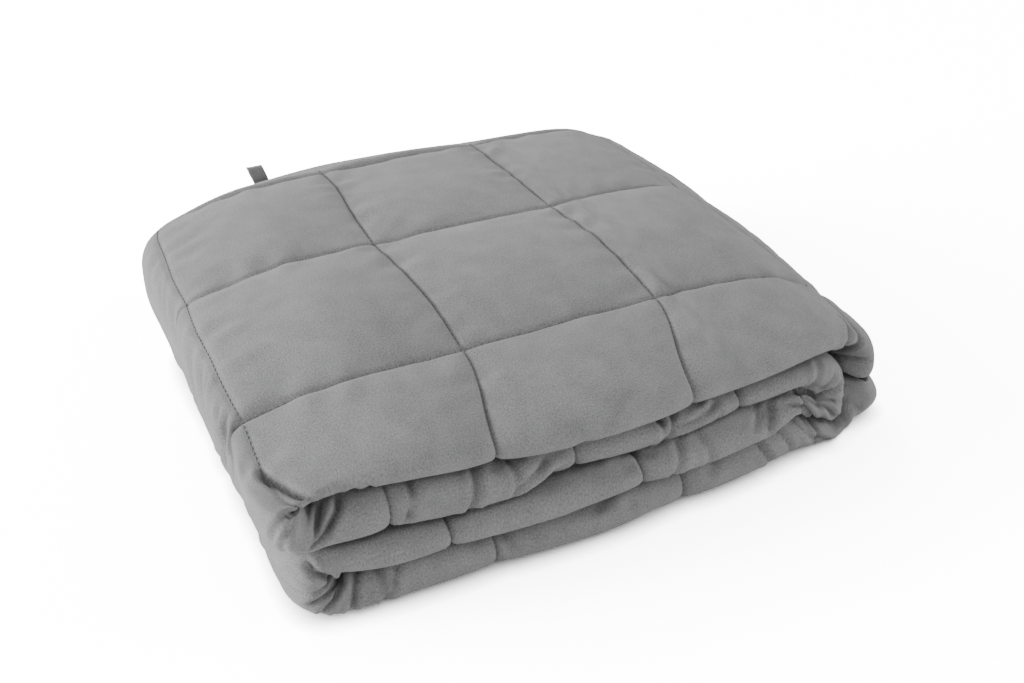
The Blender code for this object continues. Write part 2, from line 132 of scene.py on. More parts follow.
camera_data = bpy.data.cameras.new("camera")
camera_data.lens = CAMERA_LENS
camera_data.sensor_width = CAMERA_SENSOR
camera_data.clip_start = 0.01
camera = placed("camera", camera_data)
aim(camera, to_world(CAMERA_AT[0], CAMERA_AT[1], CAMERA_AT[2] + TOP), (
    math.sin(CAMERA_YAW) * math.cos(CAMERA_PITCH),
    math.cos(CAMERA_YAW) * math.cos(CAMERA_PITCH),
    -math.sin(CAMERA_PITCH),
))
bpy.context.scene.camera = camera

bpy.ops.mesh.primitive_plane_add(size=FLOOR_SIZE, location=(0.0, 0.0, FLOOR_AT))
floor = bpy.context.active_object
floor.name = "floor"
floor_finish, floor_tree, floor_shader = new_finish(
    "white_floor", Base_Color=FLOOR_COLOR, Roughness=0.9,
)
# seen directly the floor is brighter, as on an overexposed studio sweep, and keeps its shadows;
# beside the bundle a painted contact shadow darkens its seen colour further
near_by = node(floor_tree, "ShaderNodeAmbientOcclusion", samples=8, Distance=CONTACT_REACH)
painted_contact_shadow = math_node(floor_tree, "POWER", near_by.outputs["AO"], CONTACT_DARK)
brightness = math_node(floor_tree, "MULTIPLY", painted_contact_shadow, FLOOR_SEEN)
sweep = node(floor_tree, "ShaderNodeBsdfDiffuse", Color=brightness)
seen = node(floor_tree, "ShaderNodeLightPath")
either = node(floor_tree, "ShaderNodeMixShader", Fac=seen.outputs["Is Camera Ray"])
floor_tree.links.new(floor_shader.outputs["BSDF"], either.inputs[1])
floor_tree.links.new(sweep.outputs["BSDF"], either.inputs[2])
floor_tree.links.new(
    either.outputs["Shader"], floor_tree.nodes["Material Output"].inputs["Surface"]
)
floor.data.materials.append(floor_finish)

world = bpy.data.worlds.new("studio")
bpy.context.scene.world = world
world.use_nodes = True
background = world.node_tree.nodes["Background"].inputs
background["Color"].default_value = (1.0, 1.0, 1.0, 1.0)
background["Strength"].default_value = WORLD_LIGHT

for light_name, light_at, light_size, power in LIGHTS:
    light = bpy.data.lights.new(light_name, "AREA")
    light.shape = "SQUARE"
    light.size = light_size
    light.energy = power
    aim(placed(light_name, light), light_at, LIT_POINT - Vector(light_at))


# The blanket. Two faces of brushed cloth are sewn together in squares over a heavy filling.
# It is folded lengthwise into a strip, and the strip back and forth into four layers, with
# its two ends against the right side. All sizes here are in quilted squares.
LAYER_GAP = 0.024
# heights at which the layers meet, at the places LEVEL_X
LEVEL_X = (0.0, 0.5, 1.0, 2.2, 3.0)
JOIN_12 = (0.660, 0.625, 0.565, 0.525, 0.530)
JOIN_23 = (0.405, 0.360, 0.365, 0.385, 0.385)
JOIN_34 = (0.205, 0.205, 0.210, 0.215, 0.210)
# where the layers inside a fold end, and how far the strip reaches round them
LEFT_UPPER_TIP = 0.20
LEFT_LOWER_TIP = 0.25
LEFT_REACH = 0.268
LEFT_LOWER_REACH = 0.255
RIGHT_TIP = 2.60
RIGHT_REACH = 0.415
# the two ends at the right: their faces, the middles of their turns, and their edges
END_OUTER = 3.27
END_INNER = 3.045
SHOULDER_TURN = (2.10, 0.36)
TURNED_UP_TURN = (2.78, 0.19)
TURNED_UP_SHARES = (0.85, 0.15)  # of its stretch: the turn, and the rise after it
HANGING_END_Z = 0.305
TURNED_UP_Z = 0.265
# how square the turns are, where 2 is an ellipse: the outer and inner face of the shoulder,
# and the upper and lower half of the others
ROUND = 2.0
SHOULDER_SQUARE = (2.2, 5.0)
LEFT_UPPER_SQUARE = (3.0, 3.8)
RIGHT_SQUARE = (2.6, 4.5)
LEFT_LOWER_SQUARE = (3.4, 2.5)
TURNED_UP_SQUARE = 4.5


def smooth_step(x, start, stop):
    """0 at start and 1 at stop, joined smoothly."""
    t = np.clip((x - start) / (stop - start), 0.0, 1.0)
    return t * t * (3.0 - 2.0 * t)


def bell(x, middle, reach):
    """1 in the middle, falling smoothly to a third at the reach."""
    return np.exp(-((x - middle) / reach) ** 2)


def eased(x, places, values):
    """Values at places, joined by smooth steps."""
    x = np.asarray(x, float)
    i = np.clip(np.searchsorted(places, x) - 1, 0, len(places) - 2)
    places = np.array(places)
    values = np.array(values)
    t = smooth_step(x, places[i], places[i + 1])
    return values[i] * (1.0 - t) + values[i + 1] * t


def above(join, x):
    """Height of the underside of what lies on a join."""
    return eased(x, LEVEL_X, join) + LAYER_GAP / 2


def below(join, x):
    """Height of the top of what lies under a join."""
    return eased(x, LEVEL_X, join) - LAYER_GAP / 2


def arc(center, radii, angle, squareness):
    """Points on a squarish ellipse; angle 0 is +X and a quarter turn is +Z."""
    c = np.cos(angle)
    s = np.sin(angle)
    x = np.sign(c) * np.abs(c) ** (2.0 / squareness)
    z = np.sign(s) * np.abs(s) ** (2.0 / squareness)
    return np.stack([center[0] + radii[0] * x, center[1] + radii[1] * z], -1)


def tip_arc(x, join, angle):
    """Round the edge of a join, close to it."""
    tip = (x, float(eased(x, LEVEL_X, join)))
    return arc(tip, (LAYER_GAP / 2, LAYER_GAP / 2), angle, ROUND)


def line(x, z):
    """Points with one coordinate fixed, or both given."""
    return np.stack([x + 0.0 * z, z + 0.0 * x], -1)


# The strip's stretches, from its upper end to its lower one. Each gives its outer and inner
# faces in section, for shares t of the stretch.
def hanging_end(t):
    z = HANGING_END_Z + (SHOULDER_TURN[1] - HANGING_END_Z) * t
    return line(END_OUTER, z), line(END_INNER, z)


def shoulder(t):
    x, z = SHOULDER_TURN
    angle = t * math.pi / 2
    outer = arc((x, z), (END_OUTER - x, TOP - z), angle, SHOULDER_SQUARE[0])
    height = above(JOIN_12, END_INNER) - z
    return outer, arc((x, z), (END_INNER - x, height), angle, SHOULDER_SQUARE[1])


def layer_1(t):
    x = SHOULDER_TURN[0] + (LEFT_UPPER_TIP - SHOULDER_TURN[0]) * t
    return line(x, TOP), line(x, above(JOIN_12, x))


def left_turn(t, tip_x, reach, high, low, join, squareness):
    """Down round the edge that the layers inside make at the left."""
    angle = math.pi / 2 + t * math.pi
    squareness = np.where(t < 0.5, squareness[0], squareness[1])
    outer = arc((tip_x, (high + low) / 2), (reach, (high - low) / 2), angle, squareness)
    return outer, tip_arc(tip_x, join, angle)


def left_upper(t):
    low = above(JOIN_23, LEFT_UPPER_TIP)
    return left_turn(t, LEFT_UPPER_TIP, LEFT_REACH, TOP, low, JOIN_12, LEFT_UPPER_SQUARE)


def layer_2(t):
    x = LEFT_UPPER_TIP + (RIGHT_TIP - LEFT_UPPER_TIP) * t
    return line(x, above(JOIN_23, x)), line(x, below(JOIN_12, x))


def right_inner(t):
    high = below(JOIN_12, RIGHT_TIP)
    low = above(JOIN_34, RIGHT_TIP)
    angle = math.pi / 2 - t * math.pi
    squareness = np.where(t < 0.5, *RIGHT_SQUARE)
    inner = arc((RIGHT_TIP, (high + low) / 2), (RIGHT_REACH, (high - low) / 2), angle, squareness)
    return tip_arc(RIGHT_TIP, JOIN_23, angle), inner


def layer_3(t):
    x = RIGHT_TIP + (LEFT_LOWER_TIP - RIGHT_TIP) * t
    return line(x, below(JOIN_23, x)), line(x, above(JOIN_34, x))


def left_lower(t):
    high = below(JOIN_23, LEFT_LOWER_TIP)
    return left_turn(t, LEFT_LOWER_TIP, LEFT_LOWER_REACH, high, 0.0, JOIN_34, LEFT_LOWER_SQUARE)


def layer_4(t):
    x = LEFT_LOWER_TIP + (TURNED_UP_TURN[0] - LEFT_LOWER_TIP) * t
    return line(x, 0.0 * x), line(x, below(JOIN_34, x))


def turned_up_end(t):
    x, z = TURNED_UP_TURN
    turn, rise = TURNED_UP_SHARES
    angle = (np.minimum(t / turn, 1.0) - 1.0) * math.pi / 2
    outer = arc((x, z), (END_OUTER - x, z), angle, TURNED_UP_SQUARE)
    outer[:, 1] += (TURNED_UP_Z - z) * np.clip((t - turn) / rise, 0.0, 1.0)
    depth = TURNED_UP_Z - below(JOIN_34, x)
    return outer, arc((x, TURNED_UP_Z), (END_INNER - x, depth), angle, ROUND)


# maker, points, front edge, depth of the front fold, back edge, crown on top, crown in front
STRETCHES = (
    (hanging_end, 30, -0.40, 0.20, 2.40, 0.040, 0.030),
    (shoulder, 110, -0.41, 0.50, 2.40, 0.050, 0.035),
    (layer_1, 150, -0.475, 0.29, 2.42, 0.055, 0.045),
    (left_upper, 90, -0.50, 0.26, 2.42, 0.030, 0.020),
    (layer_2, 180, -0.40, 0.16, 2.38, 0.000, 0.030),
    (right_inner, 80, -0.46, 0.20, 2.38, 0.000, 0.015),
    (layer_3, 180, -0.48, 0.17, 2.43, 0.000, 0.030),
    (left_lower, 90, -0.48, 0.22, 2.43, 0.020, 0.015),
    (layer_4, 200, -0.45, 0.17, 2.40, 0.000, 0.030),
    (turned_up_end, 60, -0.45, 0.13, 2.38, 0.020, 0.020),
)
FACE_SMOOTHING = 4
SIZE_SMOOTHING = 500


def smoothed(values, passes):
    """Rows of values averaged with their neighbours; the first and last stay."""
    values = values.copy()
    for _ in range(passes):
        values[1:-1] = 0.25 * values[:-2] + 0.5 * values[1:-1] + 0.25 * values[2:]
    return values


def lengths(points):
    """Length run along points, from the first."""
    steps = np.linalg.norm(np.diff(points, axis=0), axis=1)
    return np.concatenate([[0.0], np.cumsum(steps)])


def looked_up(x, places, table):
    """The rows of a table, which lie at places, interpolated at x."""
    return np.stack([np.interp(x, places, column) for column in np.transpose(table)], -1)


made = [maker(np.arange(count) / count) for maker, count, *_ in STRETCHES]
face_out = smoothed(np.concatenate([outer for outer, _ in made]), FACE_SMOOTHING)
face_in = smoothed(np.concatenate([inner for _, inner in made]), FACE_SMOOTHING)
fold_sizes = np.concatenate([np.tile(row[2:], (row[1], 1)) for row in STRETCHES])
fold_sizes = smoothed(fold_sizes, SIZE_SMOOTHING)
run = lengths((face_out + face_in) / 2)
longer = np.maximum(np.diff(lengths(face_out)), np.diff(lengths(face_in)))
cloth_run = np.concatenate([[0.0], np.cumsum(longer)])
STRIP_END = run[-1]
stretch_ends = run[np.cumsum([row[1] for row in STRETCHES]) - 1]
END_OF = dict(zip([row[0] for row in STRETCHES], stretch_ends))

# where the seams across the strip lie: a stretch and a place along X
SEAM_PLACES = (
    (shoulder, 3.0), (layer_1, 2.0), (layer_1, 1.0), (left_upper, 0.0),
    (layer_2, 0.45), (layer_2, 1.32), (layer_2, 2.23), (layer_3, 2.58),
    (layer_3, 1.63), (layer_3, 0.69), (left_lower, -0.03), (layer_4, 0.91),
    (layer_4, 1.90), (layer_4, 2.75),
)


def seam_run(maker, x):
    """Length along the strip at which its outer face first reaches x on a stretch."""
    number = [row[0] for row in STRETCHES].index(maker)
    stop = stretch_ends[number]
    start = stretch_ends[number - 1]
    inside = (run >= start) & (run <= stop)
    short = face_out[inside, 0] - x
    passed = np.nonzero(np.diff(np.sign(short)))[0]
    return run[inside][passed[0] if len(passed) else np.argmin(abs(short))]


def along_strip(rows):
    """Lengths and values, from rows of a stretch, a place along X and a value there."""
    return [seam_run(*row[:2]) for row in rows], [row[2] for row in rows]


# where a front fold comes forward of its layer's line, or stays behind it
FORWARD = along_strip((
    (layer_1, 1.10, 0.0), (layer_1, 0.60, -0.035), (layer_1, 0.25, -0.05),
    (left_upper, -0.05, 0.0), (layer_2, 0.35, 0.05), (layer_2, 1.00, 0.05),
    (layer_2, 1.22, 0.0), (layer_4, 2.77, 0.0), (turned_up_end, 2.92, -0.01),
    (turned_up_end, 3.05, -0.05),
))
# how far the inside of a turn stands open at the front, as a share of the thickness
MOUTHS = along_strip((
    (layer_1, 0.50, 0.0), (layer_1, 0.30, 0.16), (left_upper, 0.05, 0.30),
    (left_upper, -0.07, 0.36), (layer_2, 0.26, 0.22), (layer_2, 0.42, 0.0),
    (layer_3, 0.40, 0.0), (left_lower, 0.05, 0.14), (left_lower, 0.0, 0.20),
    (layer_4, 0.40, 0.0),
))
MOUTH_DEPTH = 0.16
CROSS_SEAMS = [seam_run(*place) for place in SEAM_PLACES]
CROSS_SEAMS = np.array([CROSS_SEAMS[0] - 1.0] + CROSS_SEAMS + [CROSS_SEAMS[-1] + 1.0])
LONG_SEAMS = np.array((-1.0, 0.0, 1.0, 2.0, 3.0))

# Places round the strip are counted in squares along its cloth: 2 to 0 on the outer face,
# below 0 round the front fold, and past BACK_FROM round the hem and the inner fold
BACK_FROM = 2.06
BACK_FOLD_TO = 3.0
RING_FROM = 3.3
FRONT_TO = -0.95
RING_TO = -1.3
FRONT_BOW = 0.11  # how far the front bulges midway between the ends
BOW_X = 1.55
BOW_HALF_LENGTH = 1.65
BACK_CORNER = 0.42  # how far the back left corner is rounded off
BACK_CORNER_X = 1.15
END_ROUND = 0.05
END_THICKNESS = 0.22  # least share of the thickness at the strip's two ends
# the hem and the inner fold: distance before the back edge, and share of the thickness from
# the inner face to the outer
BACK_SHAPE = ((0.300, 0.0), (0.205, 0.0), (0.080, 0.02), (0.015, 0.11), (0.0, 0.20),
              (0.045, 0.31), (0.160, 0.37), (0.220, 0.395), (0.160, 0.43), (0.02, 0.455),
              (0.0, 0.50), (0.01, 0.56), (0.060, 0.70), (0.150, 0.85), (0.260, 0.96),
              (0.340, 1.0))
BACK_SMOOTHING = 8
# points on an outline, in its five parts
UNDER_POINTS = 30
HEM_POINTS = 90
OUTER_POINTS = 150
FOLD_POINTS = 90
INSIDE_POINTS = 30


def ring_outline(s):
    """Points round the strip at lengths s, from the middle of its inner face to its back."""
    outer, inner = looked_up(s, run, face_out), looked_up(s, run, face_in)
    front_y, front_round, back_y, *_ = looked_up(s, run, fold_sizes).T
    x = (outer[:, 0] + inner[:, 0]) / 2
    bow = 1.0 - np.minimum(abs(x - BOW_X) / BOW_HALF_LENGTH, 1.0) ** 2
    front_y = front_y - np.interp(s, *FORWARD)
    front = (front_y - FRONT_BOW * bow + front_round)[:, None]
    corner = np.clip((BACK_CORNER_X - x) / BACK_CORNER_X, 0.0, 1.0) ** 2
    back = (back_y - BACK_CORNER * corner)[:, None]
    middle = (front + back) / 2
    fine = np.linspace(0, len(BACK_SHAPE) - 1, HEM_POINTS)
    shape = looked_up(fine, np.arange(len(BACK_SHAPE)), BACK_SHAPE)
    shape = smoothed(shape, BACK_SMOOTHING)
    mouth = np.interp(s, *MOUTHS)[:, None]
    under = np.linspace(0, 1, UNDER_POINTS)[None, :-1]
    flat = np.linspace(0, 1, OUTER_POINTS)[None, 1:]
    angle = np.linspace(0, math.pi, FOLD_POINTS)[None, 1:-1]
    around = 0.5 + 0.5 * np.cos(angle)
    inside = front + (middle - front) * np.linspace(0, 1, INSIDE_POINTS)[None, :] ** 2
    parts = [
        (middle + (back - shape[0, 0] - middle) * under, 0.0 * under),
        (back - shape[None, :, 0], shape[None, :, 1]),
        (back - shape[-1, 0] + (front - back + shape[-1, 0]) * flat, 1.0 + 0.0 * flat),
        (front - front_round[:, None] * np.sin(angle), around + mouth * (1.0 - around)),
        (inside, mouth * bell(inside, front, MOUTH_DEPTH)),
    ]
    y = np.concatenate([part for part, _ in parts], 1)
    share = np.concatenate([np.broadcast_to(part, (len(s), part.shape[1])) for _, part in parts], 1)
    near_end = np.clip(np.minimum(s, STRIP_END - s) / END_ROUND, 0.0, 1.0)
    squeeze = np.maximum(END_THICKNESS, np.sqrt(1.0 - (1.0 - near_end) ** 2))[:, None]
    share = 0.5 + (share - 0.5) * squeeze
    across = outer - inner
    return np.stack([
        inner[:, :1] + across[:, :1] * share, y, inner[:, 1:] + across[:, 1:] * share,
    ], -1)


def ring_rows(s, rows):
    """Points on the rings at lengths s, at the cloth places rows."""
    grid = np.empty((len(s), len(rows), 3))
    hem = UNDER_POINTS - 1
    flat = slice(hem + HEM_POINTS, hem + HEM_POINTS + OUTER_POINTS - 1)
    for i, outline in enumerate(ring_outline(s)):
        around = lengths(outline)
        one = np.interp(-1.0, -outline[flat, 1], around[flat])
        knots = (0.0, around[hem], one + 1.0 - BACK_FROM, one + 1.0 - FRONT_TO, around[-1])
        places = (-RING_FROM, -BACK_FOLD_TO, -BACK_FROM, -FRONT_TO, -RING_TO)
        at = np.interp(-rows, places, knots)
        grid[i] = looked_up(at, around, outline)
    return grid


def spaced(marks, near, steps, reach):
    """Places from mark to mark, near each other beside one; steps are pairs of place and step."""
    places = []
    for start, stop in zip(marks, marks[1:]):
        fine = np.linspace(start, stop, 400)
        away = np.clip(np.minimum(fine - start, stop - fine) / reach, 0.0, 1.0)
        far = np.maximum(np.interp(fine, *zip(*steps)), near)
        step = near + (far - near) * away
        count = np.concatenate([[0.0], np.cumsum(np.diff(fine) / (step[1:] + step[:-1]) * 2)])
        whole = max(int(round(count[-1])), 2)
        places.append(np.interp(np.arange(whole) * count[-1] / whole, count, fine))
    return np.concatenate(places + [[marks[-1]]])


def away_from(places, seams):
    """Distance from the nearest seam."""
    return np.min(abs(places[:, None] - seams[None, :]), axis=1)


def between(places, seams):
    """0 on a seam and 1 midway between two."""
    i = np.clip(np.searchsorted(seams, places) - 1, 0, len(seams) - 2)
    t = np.clip((places - seams[i]) / (seams[i + 1] - seams[i]), 0.0, 1.0)
    return np.sin(math.pi * t)


def outward(grid):
    """Unit normals of a grid of points, facing out of the blanket."""
    along = np.gradient(grid, axis=0)
    ring = np.concatenate([grid[:, -2:-1], grid, grid[:, 1:2]], 1)
    round_it = ring[:, 2:] - ring[:, :-2]
    normal = np.cross(along, round_it)
    return normal / np.maximum(np.linalg.norm(normal, axis=2, keepdims=True), 1e-9)


def uneven(u, v, size, seed, waves=20):
    """Smooth unevenness of about that size, between -1 and 1 for the most part."""
    rng = np.random.default_rng(seed)
    total = 0.0
    for _ in range(waves):
        turn = rng.uniform(0.0, math.tau)
        length = size * rng.uniform(0.7, 1.5)
        total = total + np.sin(
            math.tau * (u * math.cos(turn) + v * math.sin(turn)) / length
            + rng.uniform(0.0, math.tau)
        )
    return total / math.sqrt(waves)


# How far the seams across the strip drift along it: seam number, at the lip, at the front
# seam, at the second, and at the back
DRIFT_ROWS = (-0.60, 0.0, 1.0, 2.0)
DRIFTS = (
    (1, -0.10, -0.09, 0.10, 0.10),
    (2, 0.13, -0.02, 0.01, 0.00),
    (3, 0.10, 0.00, 0.03, -0.03),
    (4, 0.0, 0.00, 0.00, -0.02),
)
SEAM_WANDER = 0.003
WANDER_SIZE = 0.7
DRIFT_FADES = 0.3  # near the strip's ends


def drifted(grid, s, c):
    """The grid with its rings moved along the strip where its seams aren't straight."""
    marks = [0.0] + [CROSS_SEAMS[row[0]] for row in DRIFTS] + [CROSS_SEAMS[DRIFTS[-1][0] + 1]]
    moved = np.zeros((len(s), len(c)))
    for j, place in enumerate(c):
        values = [float(eased(place, DRIFT_ROWS, row[1:])) for row in DRIFTS]
        moved[:, j] = np.interp(s, marks, [0.0] + values + [0.0])
    moved += SEAM_WANDER * uneven(s[:, None], c[None, :], WANDER_SIZE, 5)
    moved *= np.clip(np.minimum(s, STRIP_END - s) / DRIFT_FADES, 0.0, 1.0)[:, None]
    moved[:, c > BACK_FOLD_TO] = 0.0
    return np.stack([looked_up(s + moved[:, j], s, grid[:, j]) for j in range(len(c))], 1)


# where the top sinks or is fuller, how much, and from where to where that comes in; the
# shoulder's fill has a middle and a reach along X
FRONT_SINK = 0.16
FRONT_SINK_Y = (0.6, -0.6)
LEFT_SINK = 0.075
LEFT_SINK_X = (0.6, -0.05)
SHOULDER_FILL = 0.055
SHOULDER_FILL_X = (2.85, 0.35)
SHOULDER_FILL_Y = (0.3, 0.9)
BACK_LEFT_SINK = 0.03
BACK_LEFT_X = (1.2, 0.5)
BACK_LEFT_Y = (1.5, 2.2)
HEM_SINK = 0.025
HEM_SINK_X = (1.5, 2.3)
HEM_SINK_Y = (1.94, 2.10)


def sunk(grid, s):
    """How far the top layer sinks towards the front and the left, where the filling is thin."""
    x, y, z = np.moveaxis(grid, -1, 0)
    low = np.interp(x, LEVEL_X, JOIN_12)
    share = np.clip((z - low) / (TOP - low), 0.0, 1.0)
    front = FRONT_SINK * smooth_step(y, *FRONT_SINK_Y)
    left = LEFT_SINK * smooth_step(x, *LEFT_SINK_X)
    full = SHOULDER_FILL * bell(x, *SHOULDER_FILL_X) * smooth_step(y, *SHOULDER_FILL_Y)
    corner = BACK_LEFT_SINK * smooth_step(x, *BACK_LEFT_X) * smooth_step(y, *BACK_LEFT_Y)
    hem = HEM_SINK * smooth_step(x, *HEM_SINK_X) * smooth_step(y, *HEM_SINK_Y)
    top = (s < END_OF[left_upper])[:, None]
    return (front + left + corner + hem - full) * share * top


# height of the boundary of the two lowest layers in front, where the inner turn hangs down
SPILL_X = (2.0, 2.3, 2.58, 2.74, 2.93, 2.99, 3.04, 3.2)
SPILL_Z = (0.214, 0.235, 0.285, 0.180, 0.035, 0.060, 0.210, 0.210)
SPILL_TOP = 0.50
SPILL_Y = (0.10, -0.30)


def spilled(grid):
    """How far the cloth in front rises where the boundary of layers 3 and 4 isn't level."""
    x, y, z = np.moveaxis(grid, -1, 0)
    was = eased(x, LEVEL_X, JOIN_34)
    now = eased(x, SPILL_X, SPILL_Z)
    now = np.where((x < SPILL_X[0]) | (x > SPILL_X[-2]), was, now)
    low = z * now / was
    high = now + (z - was) * (SPILL_TOP - now) / (SPILL_TOP - was)
    moved = np.where(z < was, low, np.where(z < SPILL_TOP, high, z))
    return (moved - z) * smooth_step(y, *SPILL_Y)


# how far the right side comes in towards its front corner, and how far its foot spreads
RIGHT_DRAWN_IN = 0.138
RIGHT_DRAWN_X = (2.5, 3.2)
RIGHT_DRAWN_Y = (1.3, -0.1)
RIGHT_FOOT_OUT = 0.045
RIGHT_FOOT_Z = (0.22, 0.08)


def drawn_in(grid):
    """How far the grid moves to the left at its right side."""
    x, y, z = np.moveaxis(grid, -1, 0)
    foot = RIGHT_FOOT_OUT * smooth_step(z, *RIGHT_FOOT_Z)
    size = RIGHT_DRAWN_IN * np.clip(z / TOP, 0.0, 1.0) - foot
    return size * smooth_step(x, *RIGHT_DRAWN_X) * smooth_step(y, *RIGHT_DRAWN_Y)


# how far the cloth on the upper left side is pulled forward, so that its seams run aslant,
# and how far the front seam on top is set back beside it, with the middle and reach of that
LEAN_ROWS = (-0.4, 0.0, 1.0, 1.9)
LEANS = (0.0, 0.09, 0.25, 0.0)
LEAN_STARTS = (3.31, 3.43)
LEAN_STOPS = (3.80, 3.60)
FRONT_ROW_BACK = 0.038
FRONT_ROW_S = (3.20, 0.16)
FRONT_ROW_C = (0.0, 0.4)


def pulled_forward(s, c):
    """How far the cloth comes forward, at lengths s and cloth places c."""
    along = smooth_step(s, *LEAN_STARTS) * smooth_step(s, *LEAN_STOPS)
    leaning = along[:, None] * np.interp(c, LEAN_ROWS, LEANS)[None, :]
    set_back = FRONT_ROW_BACK * bell(s, *FRONT_ROW_S)[:, None] * bell(c, *FRONT_ROW_C)
    return (leaning - set_back) * (c < BACK_FROM)


BACK_ROWS = 6
HEM_ROWS = 23
UNDER_ROWS = 9
SEAM_REACH = 0.06  # how far from a seam the grid is finer
BURIED_ROWS = (-0.26, 1.7)  # cloth places that lie inside the bundle, on hidden rings
SQUARE_ROUNDS = 0.35
TOP_SEAM_FLAT = 0.25
# painted shade: the cloth's colour is darkened along the seams and in the creases, standing in for
# the shadow that falls in their grooves
SEAM_SHARE = 0.28  # shade at a seam, and how far from it that reaches
SEAM_SHADE = 0.010
TUCK_SHARE = 0.6  # shade in a crease, and the depth from which it's full
TUCK_SHADE = 0.020


class Skin:
    """The blanket's surface as a grid: a ring at each length s, a row at each cloth place c."""

    def __init__(self, near, along_steps, round_steps, thin):
        """The grid, with its steps beside the seams and away from them."""
        inside = [s for s in CROSS_SEAMS if END_ROUND * 2 < s < STRIP_END - END_ROUND * 2]
        ends = [0.0, END_ROUND], [STRIP_END - END_ROUND, STRIP_END]
        self.s = spaced(ends[0] + inside + ends[1], near, along_steps, SEAM_REACH)
        back = np.linspace(RING_FROM, BACK_FOLD_TO, BACK_ROWS)[:-1]
        hem = np.linspace(BACK_FOLD_TO, BACK_FROM, HEM_ROWS)[:-1]
        marks = [FRONT_TO, 0.0, 1.0, 2.0, BACK_FROM]
        main = spaced(marks, near, round_steps, SEAM_REACH)[::-1]
        under = np.linspace(FRONT_TO, RING_TO, UNDER_ROWS)[1:]
        self.c = np.concatenate([back, hem, main, under])
        self.grid = drifted(ring_rows(self.s, self.c), self.s, self.c)
        self.grid[..., 2] += spilled(self.grid)
        self.grid[..., 2] -= sunk(self.grid, self.s)
        self.grid[..., 0] -= drawn_in(self.grid)
        self.grid[..., 1] -= pulled_forward(self.s, self.c)
        self.mark_hidden(thin)
        self.raise_crowns()
        self.tucks = np.zeros(self.grid.shape[:2])

    def mark_hidden(self, thin):
        """Rings inside the bundle, and the rows to leave out there: all but every thin-th."""
        in_middle = (self.s > END_OF[left_upper] + 0.12) & (self.s < END_OF[layer_3] - 0.05)
        on_floor = (self.s > END_OF[left_lower] + 0.05) & (self.s < END_OF[layer_4] - 0.15)
        self.hidden = in_middle | on_floor
        buried = (self.c > BURIED_ROWS[0]) & (self.c < BURIED_ROWS[1])
        self.spare = buried & (np.arange(len(self.c)) % thin != 0)

    def raise_crowns(self):
        """The filling raises each square between its seams."""
        *_, crown, lip = looked_up(self.s, run, fold_sizes).T
        groove = between(self.s, CROSS_SEAMS) ** SQUARE_ROUNDS
        shallow = TOP_SEAM_FLAT * smooth_step(self.c, -0.40, 0.05) * (self.c < BACK_FROM)
        row = between(self.c, LONG_SEAMS) ** SQUARE_ROUNDS
        on_face = np.clip((self.c - FRONT_TO) / 0.3, 0.0, 1.0) * (self.c < BACK_FROM)
        in_front = np.clip((0.1 - self.c) / 0.25, 0.0, 1.0)
        size = crown[:, None] * (1 - in_front) + lip[:, None] * in_front
        groove = shallow[None, :] + (1.0 - shallow)[None, :] * groove[:, None]
        lift = size * groove * (row * on_face)[None, :]
        self.grid += outward(self.grid) * lift[..., None]
        self.grid[..., 2] = np.maximum(self.grid[..., 2], 0.0)

    def shown(self):
        """The places of the grid that the mesh uses."""
        use = np.ones(self.grid.shape[:2], bool)
        use[:, -1] = False
        use &= ~(self.hidden[:, None] & self.spare[None, :])
        return use

    def faces(self):
        """Faces as lists of (ring, row), with the last row kept apart from the first."""
        keep = np.nonzero(~self.spare)[0]
        every = np.arange(len(self.c))
        found = []
        for i in range(len(self.s) - 1):
            a = keep if self.hidden[i] else every
            b = keep if self.hidden[i + 1] else every
            if len(a) == len(b):
                found += [((i, p), (i + 1, p), (i + 1, q), (i, q)) for p, q in zip(a, a[1:])]
                continue
            for p, q in zip(keep, keep[1:]):
                left = [(i, r) for r in (a[(a >= p) & (a <= q)])]
                right = [(i + 1, r) for r in (b[(b >= p) & (b <= q)])]
                found.append(tuple(reversed(left)) + tuple(right))
        return found

    def build(self, name):
        """A closed mesh of the skin, with its cloth places as the UV map, in metres, and the
        painted shade of its seams and creases.
        """
        use = self.shown()
        index = np.full(use.shape, -1)
        index[use] = np.arange(use.sum())
        index[:, -1] = index[:, 0]
        faces = self.faces()
        last = len(self.c) - 1
        for ring in (0, len(self.s) - 1):
            for low, high in zip(range(0, last // 2), range(last, last // 2, -1)):
                cap = [(ring, low), (ring, low + 1), (ring, high - 1), (ring, high)]
                if low == 0:
                    cap = cap[:3]
                if high - low <= 3:
                    cap = [(ring, r) for r in range(low, high + 1)]
                faces.append(cap if ring == 0 else cap[::-1])
                if high - low <= 3:
                    break
        corners = [[int(index[i, r]) for i, r in face] for face in faces]
        mesh = bpy.data.meshes.new(name)
        points = to_world(*np.moveaxis(self.grid[use], -1, 0))
        mesh.from_pydata(points.tolist(), [], corners)
        u = np.interp(self.s, run, cloth_run) * SQUARE
        v = self.c * SQUARE
        uv = np.array([(u[i], v[r]) for face in faces for i, r in face])
        mesh.uv_layers.new(name="cloth").data.foreach_set("uv", uv.ravel())
        # painted shade along the seams and in the creases, kept as an attribute that darkens the
        # cloth's colour
        seam = np.minimum(
            away_from(self.s, CROSS_SEAMS)[:, None], away_from(self.c, LONG_SEAMS)[None, :]
        )
        at_seam = SEAM_SHARE * np.clip(1.0 - seam / SEAM_SHADE, 0.0, 1.0)
        in_crease = TUCK_SHARE * np.clip(self.tucks / TUCK_SHADE, 0.0, 1.0) ** 1.5
        painted_shade = np.maximum(at_seam, in_crease)[use]
        mesh.attributes.new("painted_shade", "FLOAT", "POINT").data.foreach_set("value", painted_shade)
        mesh.update()
        return placed(name, mesh)


